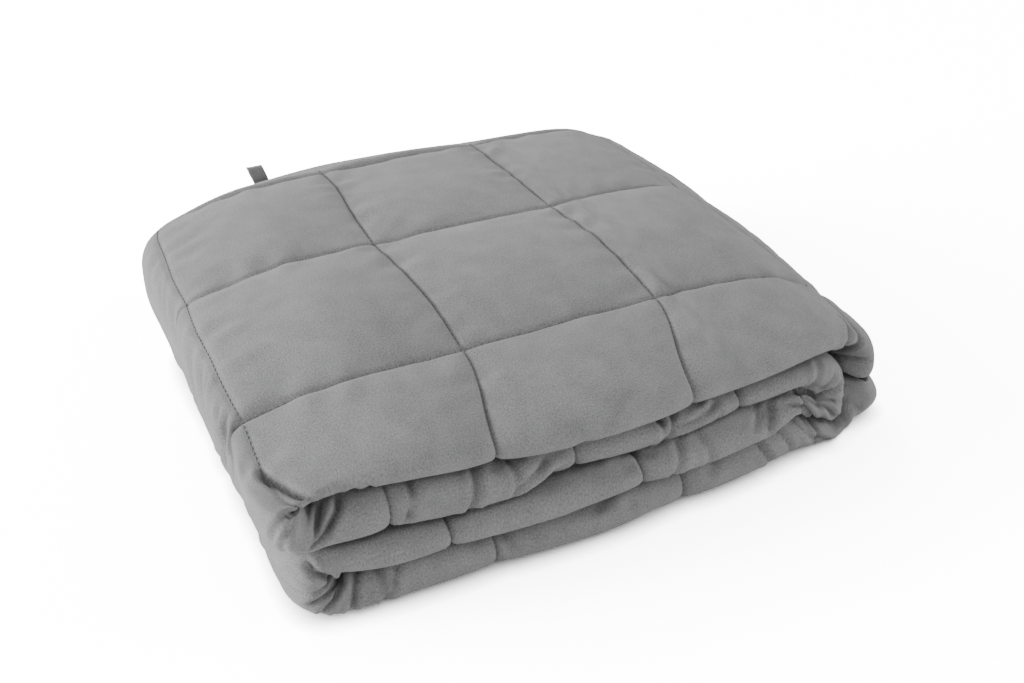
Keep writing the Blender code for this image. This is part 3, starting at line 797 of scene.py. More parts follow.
# how Blender's Cloth takes the coarse skin
CLOTH_SETTINGS = {
    "quality": 5, "mass": 0.15, "tension_stiffness": 12.0, "compression_stiffness": 12.0,
    "shear_stiffness": 4.0, "bending_stiffness": 0.05, "tension_damping": 8.0,
    "compression_damping": 8.0, "shear_damping": 8.0, "vertex_group_mass": "held",
    "use_pressure": True, "uniform_pressure_force": 1.6, "shrink_min": -0.008,
    "shrink_max": 0.0, "vertex_group_shrink": "tight",
}
CLOTH_FRAMES = 20
CLOTH_CAP = 0.06  # no place moves further than this


def settled(coarse):
    """How the cloth moves when the filling presses it out and the seams hold it."""
    body = coarse.build("cloth_to_settle")
    use = coarse.shown()
    rings, rows = np.nonzero(use)
    s, c = coarse.s[rings], coarse.c[rows]
    near_seam = np.minimum(away_from(s, CROSS_SEAMS), away_from(c, LONG_SEAMS)) < 1e-6
    inside = (c < FRONT_TO + 0.1) | (c > BACK_FOLD_TO - 0.3)
    buried = coarse.hidden[rings] & (c > -0.1) & (c < 1.75)
    edge = (s < END_ROUND) | (s > STRIP_END - END_ROUND)
    low = coarse.grid[rings, rows, 2] < 0.004
    held = near_seam | inside | buried | edge | low
    held_group = body.vertex_groups.new(name="held")
    held_group.add(np.nonzero(held)[0].tolist(), 1.0, "REPLACE")
    tight = body.vertex_groups.new(name="tight")
    on_top = smooth_step(c, -0.95, -0.6) * smooth_step(s, 3.75, 3.35)
    for number in np.nonzero(on_top)[0]:
        tight.add([int(number)], float(on_top[number]), "REPLACE")
    cloth = body.modifiers.new("cloth", "CLOTH")
    for name, value in CLOTH_SETTINGS.items():
        setattr(cloth.settings, name, value)
    cloth.settings.effector_weights.gravity = 0.0
    cloth.collision_settings.use_collision = False
    scene = bpy.context.scene
    for frames in (scene, cloth.point_cache):
        frames.frame_start = 1
        frames.frame_end = CLOTH_FRAMES
    for number in range(1, CLOTH_FRAMES + 1):
        scene.frame_set(number)
    at_rest = np.empty((len(body.data.vertices), 3))
    body.data.vertices.foreach_get("co", at_rest.ravel())
    copy = body.evaluated_get(bpy.context.evaluated_depsgraph_get()).to_mesh()
    moved = np.empty_like(at_rest)
    copy.vertices.foreach_get("co", moved.ravel())
    moved = (moved - at_rest) / SQUARE
    size = np.linalg.norm(moved, axis=1, keepdims=True)
    moved *= np.minimum(1.0, CLOTH_CAP / np.maximum(size, 1e-9))
    move = np.zeros(coarse.grid.shape)
    move[use] = moved
    move[:, -1] = move[:, 0]
    scene.frame_set(1)
    mesh = body.data
    bpy.data.objects.remove(body)
    bpy.data.meshes.remove(mesh)
    return move


def cubic(places, marks):
    """For each place, the four marks round it and their Catmull-Rom weights."""
    i = np.clip(np.searchsorted(marks, places, side="right") - 1, 0, len(marks) - 2)
    t = np.clip((places - marks[i]) / (marks[i + 1] - marks[i]), 0.0, 1.0)
    weights = np.stack([
        0.5 * (-t + 2 * t**2 - t**3), 0.5 * (2 - 5 * t**2 + 3 * t**3),
        0.5 * (t + 4 * t**2 - 3 * t**3), 0.5 * (t**3 - t**2),
    ], -1)
    near = np.clip(i[:, None] + np.array([-1, 0, 1, 2]), 0, len(marks) - 1)
    return near, weights


def carried_over(move, coarse, fine):
    """The coarse skin's move at the places of the fine one."""
    near, weights = cubic(fine.s, coarse.s)
    along = np.einsum("ik,ikjx->ijx", weights, move[near])
    near, weights = cubic(-fine.c, -coarse.c)
    return np.einsum("jk,ijkx->ijx", weights, along[:, near])


# what the stitches do to the cloth: the valleys, less on the left fold's edge, the short
# waves across them, and the broad unevenness
VALLEY_DEPTH = 0.009
VALLEY_WIDTH = 0.010
LEFT_EDGE_SEAM = 4
LEFT_EDGE_SHARE = 0.35
PUCKER_REACH = 0.080
PUCKER_HEIGHT = 0.0070
PUCKER_SIZE = 0.15
UNEVEN_HEIGHT = 0.004
UNEVEN_SIZE = 0.55
PATH_POINTS = 60
PATH_SMOOTHING = 20
CREASE_ROUND = 12  # rings and rows round a path that its crease takes
CREASE_FADES = 0.22  # share of a path over which its crease comes in, and goes out
RIDGE_OUT = 2.1  # place and width of the ridges, in half widths of the crease
RIDGE_SPREAD = 1.0


def valleys(s, c):
    """How the stitches draw the cloth in: across the strip less, but for its front fold."""
    at_edge = np.argmin(abs(s[:, None] - CROSS_SEAMS), axis=1) == LEFT_EDGE_SEAM
    weak = np.where(at_edge, LEFT_EDGE_SHARE, 1.0)
    flat = 0.30 + 0.70 * smooth_step(c, -0.15, -0.40)
    over = weak[:, None] * flat * bell(away_from(s, CROSS_SEAMS)[:, None], 0.0, VALLEY_WIDTH)
    along = bell(away_from(c, LONG_SEAMS)[None, :], 0.0, VALLEY_WIDTH)
    return -VALLEY_DEPTH * np.maximum(over, along + 0.0 * over)


def puckers(s, c):
    """The short soft waves that stand across a seam, where the stitches gather the cloth."""
    s, c = s[:, None], c[None, :]
    size = 0.2 + 0.8 * smooth_step(c, -0.40, -0.15)

    def waves(away, u, v, seed):
        away = away / PUCKER_REACH
        return away * np.exp(1.0 - away - away ** 2 / 2) * uneven(u, v, PUCKER_SIZE, seed)

    across_strip = waves(away_from(s[:, 0], CROSS_SEAMS)[:, None], 0.3 * s, c, 11)
    down_strip = waves(away_from(c[0], LONG_SEAMS)[None, :], s, 0.3 * c, 12)
    broad = uneven(s, c, UNEVEN_SIZE, 13)
    return size * (PUCKER_HEIGHT * (across_strip + down_strip) + UNEVEN_HEIGHT * broad)


# Creases, listed one by one: depth, half width, the ridges on the left and right of the path as
# shares of the depth, and the path as cloth places (length along the strip, place across it)
CREASES = (
    # beside the upper left fold, on its side
    (0.029, 0.015, 0.3, 0.5, ((3.3, 0.1), (3.362, 0.051), (3.449, 0.106), (3.52, 0.2))),
    (0.011, 0.014, 0.6, 0.6, ((3.31, 0.47), (3.365, 0.447), (3.43, 0.47))),
    (0.011, 0.014, 0.6, 0.6, ((3.305, 0.38), (3.351, 0.354), (3.44, 0.42))),
    (0.014, 0.014, 0.6, 0.6, ((3.31, 0.17), (3.372, 0.144), (3.46, 0.23))),
    (0.011, 0.014, 0.5, 0.5, ((3.34, 0.6), (3.422, 0.666), (3.48, 0.72))),
    (0.011, 0.014, 0.5, 0.5, ((3.31, 1.25), (3.367, 1.241), (3.43, 1.25))),
    (0.011, 0.014, 0.5, 0.5, ((3.32, 1.36), (3.364, 1.31), (3.42, 1.29))),
    # the upper left fold's mouth, and the corner over it
    (0.036, 0.016, 0.1, 0.3, ((3.298, -0.25), (3.3, -0.33), (3.275, -0.4), (3.262, -0.47),
        (3.24, -0.56))),
    (0.018, 0.012, 0.12, 0.2, ((3.31, -0.62), (3.4, -0.56), (3.52, -0.46))),
    (0.016, 0.012, 0.12, 0.2, ((3.33, -0.68), (3.43, -0.6), (3.5, -0.53), (3.58, -0.46))),
    (0.03, 0.013, 0.15, 0.2, ((3.64, -0.72), (3.59, -0.62), (3.575, -0.55), (3.56, -0.46))),
    (0.036, 0.013, 0.15, 0.35, ((3.73, -0.74), (3.692, -0.64), (3.64, -0.587), (3.59, -0.55),
        (3.53, -0.49))),
    (0.011, 0.016, 0.4, 0.4, ((3.06, -0.52), (3.055, -0.64))),
    (0.01, 0.016, 0.4, 0.3, ((2.99, -0.53), (2.985, -0.65))),
    (0.026, 0.014, 0.3, 0.5, ((4.0, -0.74), (3.99, -0.62), (3.96, -0.5))),
    # the lower left fold's mouth
    (0.034, 0.014, 0.5, 0.3, ((9.02, -0.44), (9.031, -0.53), (9.05, -0.64))),
    (0.031, 0.013, 0.4, 0.4, ((9.3, -0.74), (9.18, -0.62), (9.15, -0.555), (9.178, -0.46))),
    (0.029, 0.013, 0.4, 0.4, ((9.35, -0.74), (9.24, -0.62), (9.205, -0.56), (9.225, -0.46))),
    (0.026, 0.013, 0.4, 0.4, ((9.39, -0.72), (9.334, -0.596), (9.28, -0.46))),
    (0.023, 0.014, 0.4, 0.4, ((9.44, -0.74), (9.442, -0.585), (9.447, -0.46))),
    (0.018, 0.014, 0.4, 0.4, ((9.53, -0.66), (9.487, -0.559), (9.43, -0.48))),
    # the end that hangs down at the right
    (0.029, 0.02, 0.4, 0.2, ((0.55, -0.62), (0.505, -0.5), (0.48, -0.45), (0.437, -0.394),
        (0.434, -0.345), (0.47, -0.27))),
    (0.021, 0.014, 0.4, 0.4, ((0.15, -0.62), (0.298, -0.511), (0.42, -0.42))),
    (0.021, 0.014, 0.4, 0.4, ((0.06, -0.68), (0.116, -0.549), (0.16, -0.4))),
    # the turn inside the right side
    (0.034, 0.014, 0.4, 0.4, ((6.24, -0.8), (6.28, -0.62), (6.32, -0.54), (6.46, -0.49),
        (6.66, -0.47))),
    (0.023, 0.012, 0.4, 0.4, ((6.31, -0.8), (6.335, -0.64), (6.365, -0.56), (6.45, -0.515))),
    (0.029, 0.013, 0.4, 0.4, ((6.38, -0.8), (6.385, -0.66), (6.405, -0.59), (6.47, -0.54),
        (6.6, -0.5))),
    (0.029, 0.013, 0.4, 0.4, ((6.45, -0.82), (6.48, -0.67), (6.535, -0.6), (6.62, -0.55),
        (6.72, -0.51))),
    (0.016, 0.014, 0.4, 0.4, ((6.21, -0.7), (6.234, -0.6), (6.28, -0.52))),
    (0.011, 0.016, 0.4, 0.4, ((6.137, -0.68), (6.13, -0.54), (6.18, -0.45))),
    (0.018, 0.014, 0.3, 0.4, ((6.74, -0.44), (6.78, -0.539), (6.86, -0.62))),
    (0.016, 0.014, 0.3, 0.4, ((6.8, -0.44), (6.85, -0.53), (6.94, -0.6))),
    # the lowest layer's right part and its turned-up end
    (0.018, 0.014, 0.4, 0.4, ((11.47, -0.74), (11.553, -0.618), (11.64, -0.5))),
    (0.021, 0.014, 0.4, 0.4, ((11.59, -0.72), (11.66, -0.62), (11.735, -0.575),
        (11.819, -0.535), (11.92, -0.47))),
    (0.021, 0.016, 0.4, 0.4, ((11.36, -0.72), (11.43, -0.61), (11.52, -0.49))),
    (0.016, 0.014, 0.4, 0.4, ((11.7, -0.68), (11.79, -0.5))),
    (0.018, 0.04, 0.3, 0.3, ((12.18, -0.62), (12.14, -0.54), (12.1, -0.44))),
    # the front of the second layer
    (0.02, 0.02, 0.4, 0.5, ((4.285, -0.74), (4.268, -0.62), (4.25, -0.48))),
    (0.018, 0.018, 0.4, 0.4, ((4.445, -0.74), (4.457, -0.628), (4.44, -0.52))),
    (0.021, 0.018, 0.2, 0.5, ((4.4, -0.56), (4.497, -0.584), (4.557, -0.583), (4.66, -0.615))),
    (0.018, 0.018, 0.3, 0.4, ((5.215, -0.66), (5.226, -0.56), (5.245, -0.46))),
    (0.023, 0.018, 0.3, 0.5, ((5.32, -0.7), (5.29, -0.58), (5.245, -0.48))),
    (0.026, 0.018, 0.4, 0.3, ((5.255, -0.55), (5.356, -0.53), (5.419, -0.533), (5.5, -0.539),
        (5.58, -0.58))),
    (0.011, 0.018, 0.3, 0.3, ((5.535, -0.62), (5.552, -0.48))),
    # the front of the third layer
    (0.014, 0.02, 0.4, 0.4, ((7.31, -0.48), (7.343, -0.59), (7.41, -0.68))),
    (0.01, 0.02, 0.4, 0.4, ((7.225, -0.47), (7.17, -0.66))),
    (0.011, 0.02, 0.4, 0.4, ((7.56, -0.45), (7.517, -0.497), (7.46, -0.55))),
    # the front of the lowest layer, and of the top one
    (0.014, 0.018, 0.4, 0.4, ((9.995, -0.71), (10.026, -0.639), (10.07, -0.57))),
    (0.009, 0.03, 0.3, 0.3, ((1.7, -0.5), (1.78, -0.58), (1.92, -0.68))),
    (0.008, 0.03, 0.3, 0.3, ((2.03, -0.56), (2.0, -0.66), (1.95, -0.76))),
)


def creased(grid, s, c):
    """How far the cloth rises beside its creases and falls into them, and the fall by itself."""
    facing = outward(grid)
    dips, ridges = np.zeros((2,) + grid.shape[:2])
    for depth, width, left, right, path in CREASES:
        path = np.array(path)
        far = lengths(path)
        fine = np.linspace(0.0, far[-1], PATH_POINTS)
        at = smoothed(looked_up(fine, far, path), PATH_SMOOTHING)
        i = np.interp(at[:, 0], s, np.arange(len(s)))
        j = np.interp(-at[:, 1], -c, np.arange(len(c)))
        i0, j0 = i.astype(int), j.astype(int)
        u, v = (i - i0)[:, None], (j - j0)[:, None]
        line = (grid[i0, j0] * (1 - u) * (1 - v) + grid[i0 + 1, j0] * u * (1 - v)
                + grid[i0, j0 + 1] * (1 - u) * v + grid[i0 + 1, j0 + 1] * u * v)
        rows = slice(max(j0.min() - CREASE_ROUND, 0), j0.max() + CREASE_ROUND + 1)
        rings = slice(max(i0.min() - CREASE_ROUND, 0), i0.max() + CREASE_ROUND + 1)
        near = grid[rings, rows]
        away = np.linalg.norm(near[:, :, None] - line, axis=-1)
        closest = np.argmin(away, axis=-1)
        away = np.min(away, axis=-1) / width
        tangent = np.gradient(line, axis=0)[closest]
        side = np.sum(np.cross(tangent, near - line[closest]) * facing[rings, rows], -1)
        ridge = np.where(side > 0.0, left, right) * bell(away, RIDGE_OUT, RIDGE_SPREAD)
        along = closest / (PATH_POINTS - 1)
        ends = smooth_step(along, 0.0, CREASE_FADES)
        ends = ends * smooth_step(along, 1.0, 1.0 - CREASE_FADES)
        dips[rings, rows] = np.maximum(dips[rings, rows], depth * np.exp(-away ** 1.5) * ends)
        ridges[rings, rows] = np.maximum(ridges[rings, rows], depth * ridge * ends)
    return ridges - dips, dips


# steps of the fine grid away from the seams: pairs of a place and the step there
FINE_ALONG = (
    (0.0, 0.022), (0.3, 0.020), (1.5, 0.028), (END_OF[layer_1] - 0.25, 0.028),
    (END_OF[layer_1], 0.0115), (END_OF[left_upper], 0.0115), (END_OF[left_upper] + 0.2, 0.028),
    (4.15, 0.028), (4.20, 0.016), (4.62, 0.016), (4.67, 0.030), (5.10, 0.030), (5.15, 0.016),
    (5.58, 0.016), (5.63, 0.030), (END_OF[layer_2] - 0.4, 0.024), (END_OF[layer_2], 0.012),
    (END_OF[right_inner], 0.012), (END_OF[right_inner] + 0.3, 0.028), (7.10, 0.030),
    (7.15, 0.018), (7.42, 0.018), (7.47, 0.030), (END_OF[layer_3] - 0.3, 0.028),
    (END_OF[layer_3], 0.013), (END_OF[left_lower], 0.013), (END_OF[left_lower] + 0.3, 0.028),
    (END_OF[layer_4] - 0.5, 0.022), (END_OF[layer_4], 0.016), (STRIP_END, 0.016),
)
FINE_ROUND = ((-1.0, 0.0115), (-0.30, 0.0115), (-0.1, 0.030), (2.06, 0.030))
FINE_NEAR = 0.0095  # step beside a seam
FINE_THIN = 6
COARSE_STEPS = ((0.0, 0.040),)
COARSE_NEAR = 0.030
COARSE_THIN = 4

skin = Skin(FINE_NEAR, FINE_ALONG, FINE_ROUND, FINE_THIN)
coarse = Skin(COARSE_NEAR, COARSE_STEPS, COARSE_STEPS, COARSE_THIN)
skin.grid += carried_over(settled(coarse), coarse, skin)
skin.grid[..., 2] = np.maximum(skin.grid[..., 2], 0.0)
visible = smooth_step(skin.c, -1.0, -0.9) * smooth_step(-skin.c, -2.06, -1.98)
lift, skin.tucks = creased(skin.grid, skin.s, skin.c)
lift += (valleys(skin.s, skin.c) + puckers(skin.s, skin.c)) * visible
skin.grid += outward(skin.grid) * lift[..., None]
skin.grid[..., 2] = np.maximum(skin.grid[..., 2], 0.0)
blanket = skin.build("quilted_blanket")
blanket.data.shade_smooth()

# rays for the painted shade of what is shut in, such as the gaps between the layers and the insides
# of folds: their reach, number, spread about the normal, and start over the surface; then the share
# of shutting from which it darkens, and where it's full
SHUT_REACH = 0.012
SHUT_RAYS = 12
SHUT_TURN = 2.4
SHUT_SPREAD = 0.95
SHUT_LIFT = 0.0005
SHUT_FROM = 0.17
SHUT_FULL = 0.65


def cavities(mesh, reach, rays):
    """How shut in each point of a closed mesh is, from short rays spread about its normal."""
    points = np.empty(len(mesh.vertices) * 3, np.float32)
    facing = np.empty(len(mesh.vertices) * 3, np.float32)
    mesh.vertices.foreach_get("co", points)
    mesh.vertex_normals.foreach_get("vector", facing)
    points, facing = points.reshape(-1, 3), facing.reshape(-1, 3)
    tree = BVHTree.FromPolygons(points.tolist(), [tuple(face.vertices) for face in mesh.polygons])
    start = (points + SHUT_LIFT * facing).tolist()
    shut = np.zeros(len(points))
    for k in range(rays):
        height = 1.0 - (2 * k + 1) / rays
        turn = SHUT_TURN * k
        flat = math.sqrt(1.0 - height ** 2)
        spread = np.array((flat * math.cos(turn), flat * math.sin(turn), height))
        spread = SHUT_SPREAD * spread
        ways = (facing + spread) / np.linalg.norm(facing + spread, axis=1)[:, None]
        for i, (place, way) in enumerate(zip(start, ways.tolist())):
            far = tree.ray_cast(place, way, reach)[3]
            if far is not None:
                shut[i] += 1.0 - far / reach
    return shut / rays


def shade_in(mesh, closeness):
    """Painted shade: darker in colour where the cloth is shut in, on top of the painted shade of
    its seams and creases.
    """
    painted_shade = np.empty(len(mesh.vertices), np.float32)
    values = mesh.attributes["painted_shade"].data
    values.foreach_get("value", painted_shade)
    deep = np.clip((closeness - SHUT_FROM) / (SHUT_FULL - SHUT_FROM), 0.0, 1.0)
    values.foreach_set("value", (1.0 - (1.0 - painted_shade) * (1.0 - deep)).astype(np.float32))


shade_in(blanket.data, cavities(blanket.data, SHUT_REACH, SHUT_RAYS))

ONE_WAVE = math.pi / 10.0  # scale at which the wave texture's bands are one unit apart
WAVE_WANDER = 6.0
GRAIN = {"Rib Pitch": 0.0009, "Rib Depth": 0.5, "Fuzz Size": 0.0007, "Turn": 0.0}
CLOTH_GRAIN = {"Rib Pitch": 0.0012, "Rib Depth": 0.15, "Fuzz Size": 0.0010, "Turn": 0.5}
FUZZ_SHARE = 0.75  # of the mottling; the rest is broad blotches
GRAIN_DEPTH = 0.0006
MOTTLE_STOPS = (0.35, 0.65)
GREY = (0.172, 0.172, 0.175)
GREY_LIGHT = (0.342, 0.342, 0.346)
# how dark the painted shade makes the cloth's colour where it is full
SHADE_DARKENS = 0.42
COLOR_A, COLOR_B, COLOR_RESULT = 6, 7, 2  # sockets of the mixing node for colours


def woven_grain():
    """Node group: slanted ribs, fuzz and mottling of a cloth, from its own UV map in metres."""
    tree = bpy.data.node_groups.new("woven_grain", "ShaderNodeTree")
    face = tree.interface
    face.new_socket("Vector", in_out="INPUT", socket_type="NodeSocketVector")
    for name, value in GRAIN.items():
        face.new_socket(name, in_out="INPUT", socket_type="NodeSocketFloat").default_value = value
    for name in ("Height", "Mottle"):
        face.new_socket(name, in_out="OUTPUT", socket_type="NodeSocketFloat")
    given = tree.nodes.new("NodeGroupInput").outputs
    result = tree.nodes.new("NodeGroupOutput").inputs

    def in_units(vector, size):
        times = math_node(tree, "DIVIDE", 1.0, given[size])
        unit = node(tree, "ShaderNodeVectorMath", operation="SCALE", Vector=vector, Scale=times)
        return unit.outputs[0]

    def noise(vector, **values):
        return node(tree, "ShaderNodeTexNoise", Vector=vector, **values).outputs[0]

    turned = node(tree, "ShaderNodeVectorRotate", rotation_type="Z_AXIS",
                  Vector=given["Vector"], Angle=given["Turn"])
    warp = noise(given["Vector"], Scale=90.0, Detail=1.0)
    wave = node(tree, "ShaderNodeTexWave", Vector=in_units(turned.outputs[0], "Rib Pitch"),
                Scale=ONE_WAVE, Distortion=0.0,
                Phase_Offset=math_node(tree, "MULTIPLY", warp, WAVE_WANDER))
    fuzz = noise(in_units(given["Vector"], "Fuzz Size"), Scale=1.0, Detail=3.0, Roughness=0.65)
    blotch = noise(given["Vector"], Scale=55.0, Detail=4.0, Roughness=0.6)
    ribs = math_node(tree, "MULTIPLY", wave.outputs["Fac"], given["Rib Depth"])
    tree.links.new(math_node(tree, "ADD", ribs, fuzz), result["Height"])
    broad = math_node(tree, "MULTIPLY", blotch, 1.0 - FUZZ_SHARE)
    close = math_node(tree, "MULTIPLY", fuzz, FUZZ_SHARE)
    tree.links.new(math_node(tree, "ADD", broad, close), result["Mottle"])
    return tree


def two_tone(tree, pattern, dark, light, stops):
    """The colour that goes from dark to light as a pattern rises from stop to stop."""
    ramp = node(tree, "ShaderNodeValToRGB", Fac=pattern)
    for element, stop, color in zip(ramp.color_ramp.elements, stops, (dark, light)):
        element.position = stop
        element.color = (*color, 1.0)
    return ramp.outputs["Color"]


def cloth_finish(name, grain, dark, light, values, bump, roughness, sheen):
    """A woven finish; it gives back the material and the colour that the shader takes."""
    finish, tree, shader = new_finish(
        name, Roughness=roughness, Sheen_Weight=sheen, Sheen_Roughness=0.45,
        Specular_IOR_Level=0.25,
    )
    uv = node(tree, "ShaderNodeUVMap", uv_map="cloth")
    weave = node(tree, "ShaderNodeGroup", node_tree=grain, Vector=uv.outputs[0], **values)
    color = two_tone(tree, weave.outputs["Mottle"], dark, light, MOTTLE_STOPS)
    tree.links.new(color, shader.inputs["Base Color"])
    relief = node(tree, "ShaderNodeBump", Strength=bump, Distance=GRAIN_DEPTH,
                  Height=weave.outputs["Height"])
    tree.links.new(relief.outputs["Normal"], shader.inputs["Normal"])
    return finish, color


grain = woven_grain()
brushed_cloth, cloth_color = cloth_finish(
    "brushed_grey_cloth", grain, GREY, GREY_LIGHT, CLOTH_GRAIN, 0.8, 0.85, 0.25
)
cloth_tree = brushed_cloth.node_tree
# painted shade: the cloth's colour is multiplied darker where the mesh's painted shade attribute
# marks shadow in seams, creases and gaps
painted_shade = node(cloth_tree, "ShaderNodeAttribute", attribute_name="painted_shade")
darker = node(cloth_tree, "ShaderNodeMix", data_type="RGBA", blend_type="MULTIPLY",
              Factor=painted_shade.outputs["Fac"])
darker.inputs[COLOR_B].default_value = (SHADE_DARKENS, SHADE_DARKENS, SHADE_DARKENS, 1.0)
cloth_tree.links.new(cloth_color, darker.inputs[COLOR_A])
cloth_tree.links.new(
    darker.outputs[COLOR_RESULT], cloth_tree.nodes["Principled BSDF"].inputs["Base Color"]
)
blanket.data.materials.append(brushed_cloth)
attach(blanket, "root")
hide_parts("blanket")


# The quilting stitches. A strong thread is sewn through both faces along every seam; each
# stitch is a short thread lying in the seam's valley, with a small gap before the next.
STITCH = {"Pitch": 0.0040, "Length": 0.0030, "Thread": 0.0009}
THREAD_SITS = 0.0003  # height of the thread's middle over the valley
BEAD_SEGMENTS = 6
BEAD_RINGS = 5
# cloth places between which the cross seams show: in front only, and on the top and the ends
SEEN_IN_FRONT = (-0.86, -0.40)
SEEN_ON_TOP = (-0.80, 2.05)
SEAMS_END_EARLY = {LEFT_EDGE_SEAM: -0.33, 11: 0.0}
# lengths along the strip between which the long seams show
LONG_SEEN = (
    (0.10, END_OF[left_upper] - 0.10), (END_OF[layer_3] + 0.10, END_OF[left_lower] - 0.05),
    (END_OF[layer_4], STRIP_END - 0.10),
)
THREAD_DARK = (0.11, 0.11, 0.111)
THREAD_LIGHT = (0.19, 0.19, 0.192)


def seam_lines():
    """A mesh of the seams that show, one chain of edges each."""
    points, edges = [], []
    facing = outward(skin.grid)
    raised = to_world(*np.moveaxis(skin.grid, -1, 0)) + THREAD_SITS * facing

    def add(line):
        edges.extend((len(points) + k, len(points) + k + 1) for k in range(len(line) - 1))
        points.extend(line.tolist())

    for number, s in enumerate(CROSS_SEAMS[1:-1], 1):
        on_top = s < END_OF[left_upper] or s > END_OF[layer_4]
        low, high = SEEN_ON_TOP if on_top else SEEN_IN_FRONT
        low = SEAMS_END_EARLY.get(number, low)
        rows = (skin.c > low) & (skin.c < high)
        add(raised[np.argmin(abs(skin.s - s)), rows])
    for c in LONG_SEAMS[1:-1]:
        row = np.argmin(abs(skin.c - c))
        for start, stop in LONG_SEEN:
            add(raised[(skin.s > start) & (skin.s < stop), row])
    mesh = bpy.data.meshes.new("seam_lines")
    mesh.from_pydata(points, edges, [])
    return placed("seam_lines", mesh)


def stitching(finish):
    """Geometry Nodes: a stitch at every pitch along each line."""
    tree = bpy.data.node_groups.new("stitching", "GeometryNodeTree")
    face = tree.interface
    face.new_socket("Geometry", in_out="INPUT", socket_type="NodeSocketGeometry")
    sizes = {}
    for name in STITCH:
        socket = face.new_socket(name, in_out="INPUT", socket_type="NodeSocketFloat")
        sizes[name] = socket.identifier
    face.new_socket("Geometry", in_out="OUTPUT", socket_type="NodeSocketGeometry")
    given = tree.nodes.new("NodeGroupInput").outputs
    result = tree.nodes.new("NodeGroupOutput").inputs
    curve = node(tree, "GeometryNodeMeshToCurve", Mesh=given["Geometry"])
    places = node(tree, "GeometryNodeCurveToPoints", mode="LENGTH",
                  Curve=curve.outputs["Curve"], Length=given["Pitch"])
    bead = node(tree, "GeometryNodeMeshUVSphere", Segments=BEAD_SEGMENTS, Rings=BEAD_RINGS,
                Radius=0.5)
    size = node(tree, "ShaderNodeCombineXYZ", X=given["Thread"], Y=given["Thread"],
                Z=given["Length"])
    put = node(tree, "GeometryNodeInstanceOnPoints", Points=places.outputs["Points"],
               Instance=bead.outputs["Mesh"], Rotation=places.outputs["Rotation"],
               Scale=size.outputs["Vector"])
    whole = node(tree, "GeometryNodeRealizeInstances", Geometry=put.outputs["Instances"])
    thread = node(tree, "GeometryNodeSetMaterial", Geometry=whole.outputs["Geometry"],
                  Material=finish)
    tree.links.new(thread.outputs["Geometry"], result["Geometry"])
    return tree, sizes


def made_plain(thing, name):
    """The evaluated object as a plain mesh object of its own; the one it came from goes."""
    evaluated = thing.evaluated_get(bpy.context.evaluated_depsgraph_get())
    mesh = bpy.data.meshes.new_from_object(evaluated)
    bpy.data.objects.remove(thing)
    return placed(name, mesh)


thread_finish, thread_tree, thread_shader = new_finish("grey_sewing_thread", Roughness=0.6)
place = node(thread_tree, "ShaderNodeTexCoord")
strands = node(thread_tree, "ShaderNodeTexNoise", Vector=place.outputs["Object"],
               Scale=2500.0, Detail=2.0)
thread_color = two_tone(thread_tree, strands.outputs[0], THREAD_DARK, THREAD_LIGHT, (0.0, 1.0))
thread_tree.links.new(thread_color, thread_shader.inputs["Base Color"])

stitch_tree, stitch_sizes = stitching(thread_finish)
seams = seam_lines()
sewn = seams.modifiers.new("stitching", "NODES")
sewn.node_group = stitch_tree
for socket_name, size in STITCH.items():
    sewn[stitch_sizes[socket_name]] = size
stitches = made_plain(seams, "quilting_stitches")
stitches.data.shade_smooth()
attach(stitches, "root")


# The loop of ribbon. A narrow woven ribbon is folded over and its two ends are sewn into the
# hem at the back left; it ties a cover on. It stands up and leans to the left.
RIBBON_WIDTH = 0.012
RIBBON_THICK = 0.0012
# the selvedge, from the edge in: distance from it, and share of the thickness
SELVEDGE = ((0.0, 0.0), (0.0002, 0.8), (0.0005, 1.0), (0.0010, 0.9), (0.0014, 0.62))
WEB_FROM = 0.0025
WEB_SHARE = 0.62
WEB_POINTS = 6
RIBBON_LEAN = (-0.30, 0.06)
LOOP_HEIGHT = 0.0165
LOOP_HALF_OPEN = 0.0041
LOOP_SIDES_TOUCH = 0.0009
LOOP_PARTS = 0.0048
LOOP_STEPS = 72
loop_low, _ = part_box("hang_loop")
LOOP_MIDDLE_X = (0.78 - MIDDLE_X) * SQUARE
LOOP_FOOT_Z = loop_low[2] + 0.0001
LOOP_BACK = loop_low[1] + LOOP_HALF_OPEN + 0.0004
RIBBON_DARK = (0.25, 0.25, 0.254)
RIBBON_LIGHT = (0.32, 0.32, 0.325)
RIBBON_GRAIN = {"Rib Pitch": 0.0008, "Rib Depth": 1.6, "Fuzz Size": 0.0005, "Turn": math.pi / 2}


def ribbon_section():
    """Across the ribbon: flat, with a thicker round selvedge at both edges."""
    half = RIBBON_WIDTH / 2
    thick = RIBBON_THICK / 2
    side = [(-half + x, thick * share) for x, share in SELVEDGE]
    web = np.linspace(-half + WEB_FROM, half - WEB_FROM, WEB_POINTS)
    top = side + [(x, thick * WEB_SHARE) for x in web] + [(-x, z) for x, z in reversed(side)]
    return np.array(top + [(x, -z) for x, z in top[-2:0:-1]])


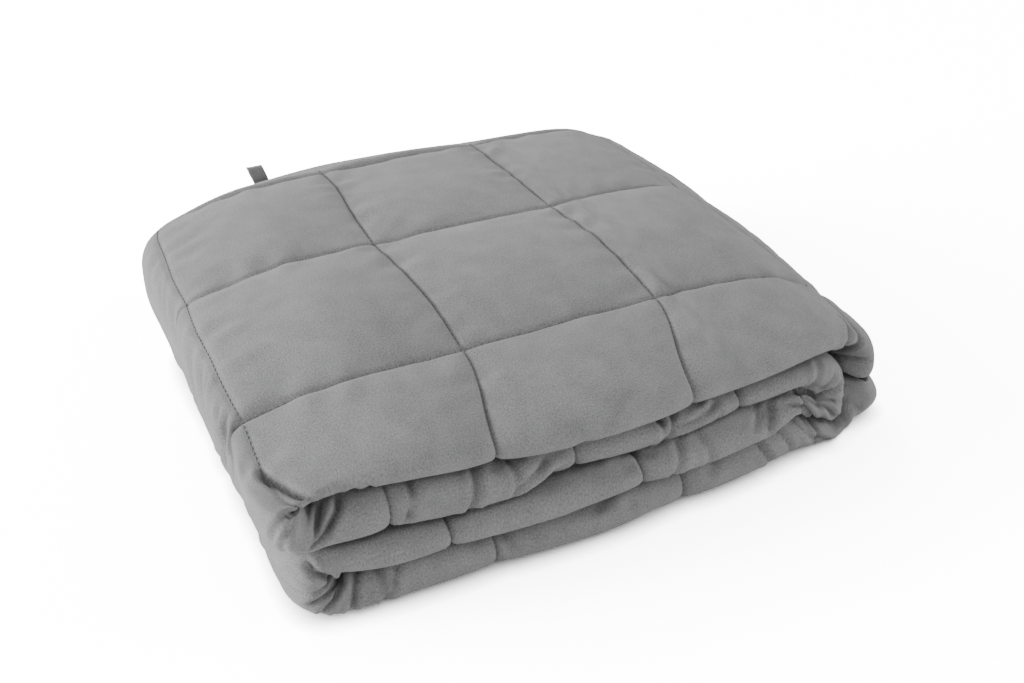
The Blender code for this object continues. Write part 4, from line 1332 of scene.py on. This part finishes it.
def hang_loop():
    """The ribbon bent into its loop, with its two feet together."""
    section = ribbon_section()
    angle = np.linspace(0.0, math.pi, LOOP_STEPS)
    height = LOOP_HEIGHT * np.sin(angle) ** 0.85
    opened = smooth_step(height, LOOP_PARTS, LOOP_PARTS * 2)
    half = LOOP_SIDES_TOUCH + (LOOP_HALF_OPEN - LOOP_SIDES_TOUCH) * opened
    back = -half * np.copysign(np.abs(np.cos(angle)) ** 0.5, np.cos(angle))
    path = smoothed(np.stack([back, height], -1), 3)
    along = np.gradient(path, axis=0)
    along /= np.maximum(np.linalg.norm(along, axis=1, keepdims=True), 1e-9)
    off = np.stack([-along[:, 1], along[:, 0]], -1)
    points, faces, uv = [], [], []
    run_at = lengths(path)
    count = len(section)
    for k, ((y, z), (ny, nz)) in enumerate(zip(path, off)):
        for x, d in section:
            up = z + nz * d
            points.append((
                LOOP_MIDDLE_X + x + RIBBON_LEAN[0] * up,
                LOOP_BACK + y + ny * d + RIBBON_LEAN[1] * up, LOOP_FOOT_Z + up,
            ))
            uv.append((x, run_at[k]))
    for k in range(len(path) - 1):
        for m in range(count):
            n = (m + 1) % count
            faces.append((k * count + m, k * count + n, (k + 1) * count + n, (k + 1) * count + m))
    faces.append(tuple(range(count))[::-1])
    faces.append(tuple((len(path) - 1) * count + m for m in range(count)))
    mesh = bpy.data.meshes.new("hang_loop_ribbon")
    mesh.from_pydata(points, [], faces)
    flat_uv = [uv[corner] for face in faces for corner in face]
    mesh.uv_layers.new(name="cloth").data.foreach_set("uv", np.array(flat_uv).ravel())
    fresh = bmesh.new()
    fresh.from_mesh(mesh)
    bmesh.ops.recalc_face_normals(fresh, faces=fresh.faces[:])
    fresh.to_mesh(mesh)
    fresh.free()
    mesh.shade_smooth()
    return placed("hang_loop_ribbon", mesh)


ribbon = hang_loop()
woven_ribbon, _ = cloth_finish(
    "woven_grey_ribbon", grain, RIBBON_DARK, RIBBON_LIGHT, RIBBON_GRAIN, 0.6, 0.6, 0.15
)
ribbon.data.materials.append(woven_ribbon)
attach(ribbon, "root")
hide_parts("hang_loop")
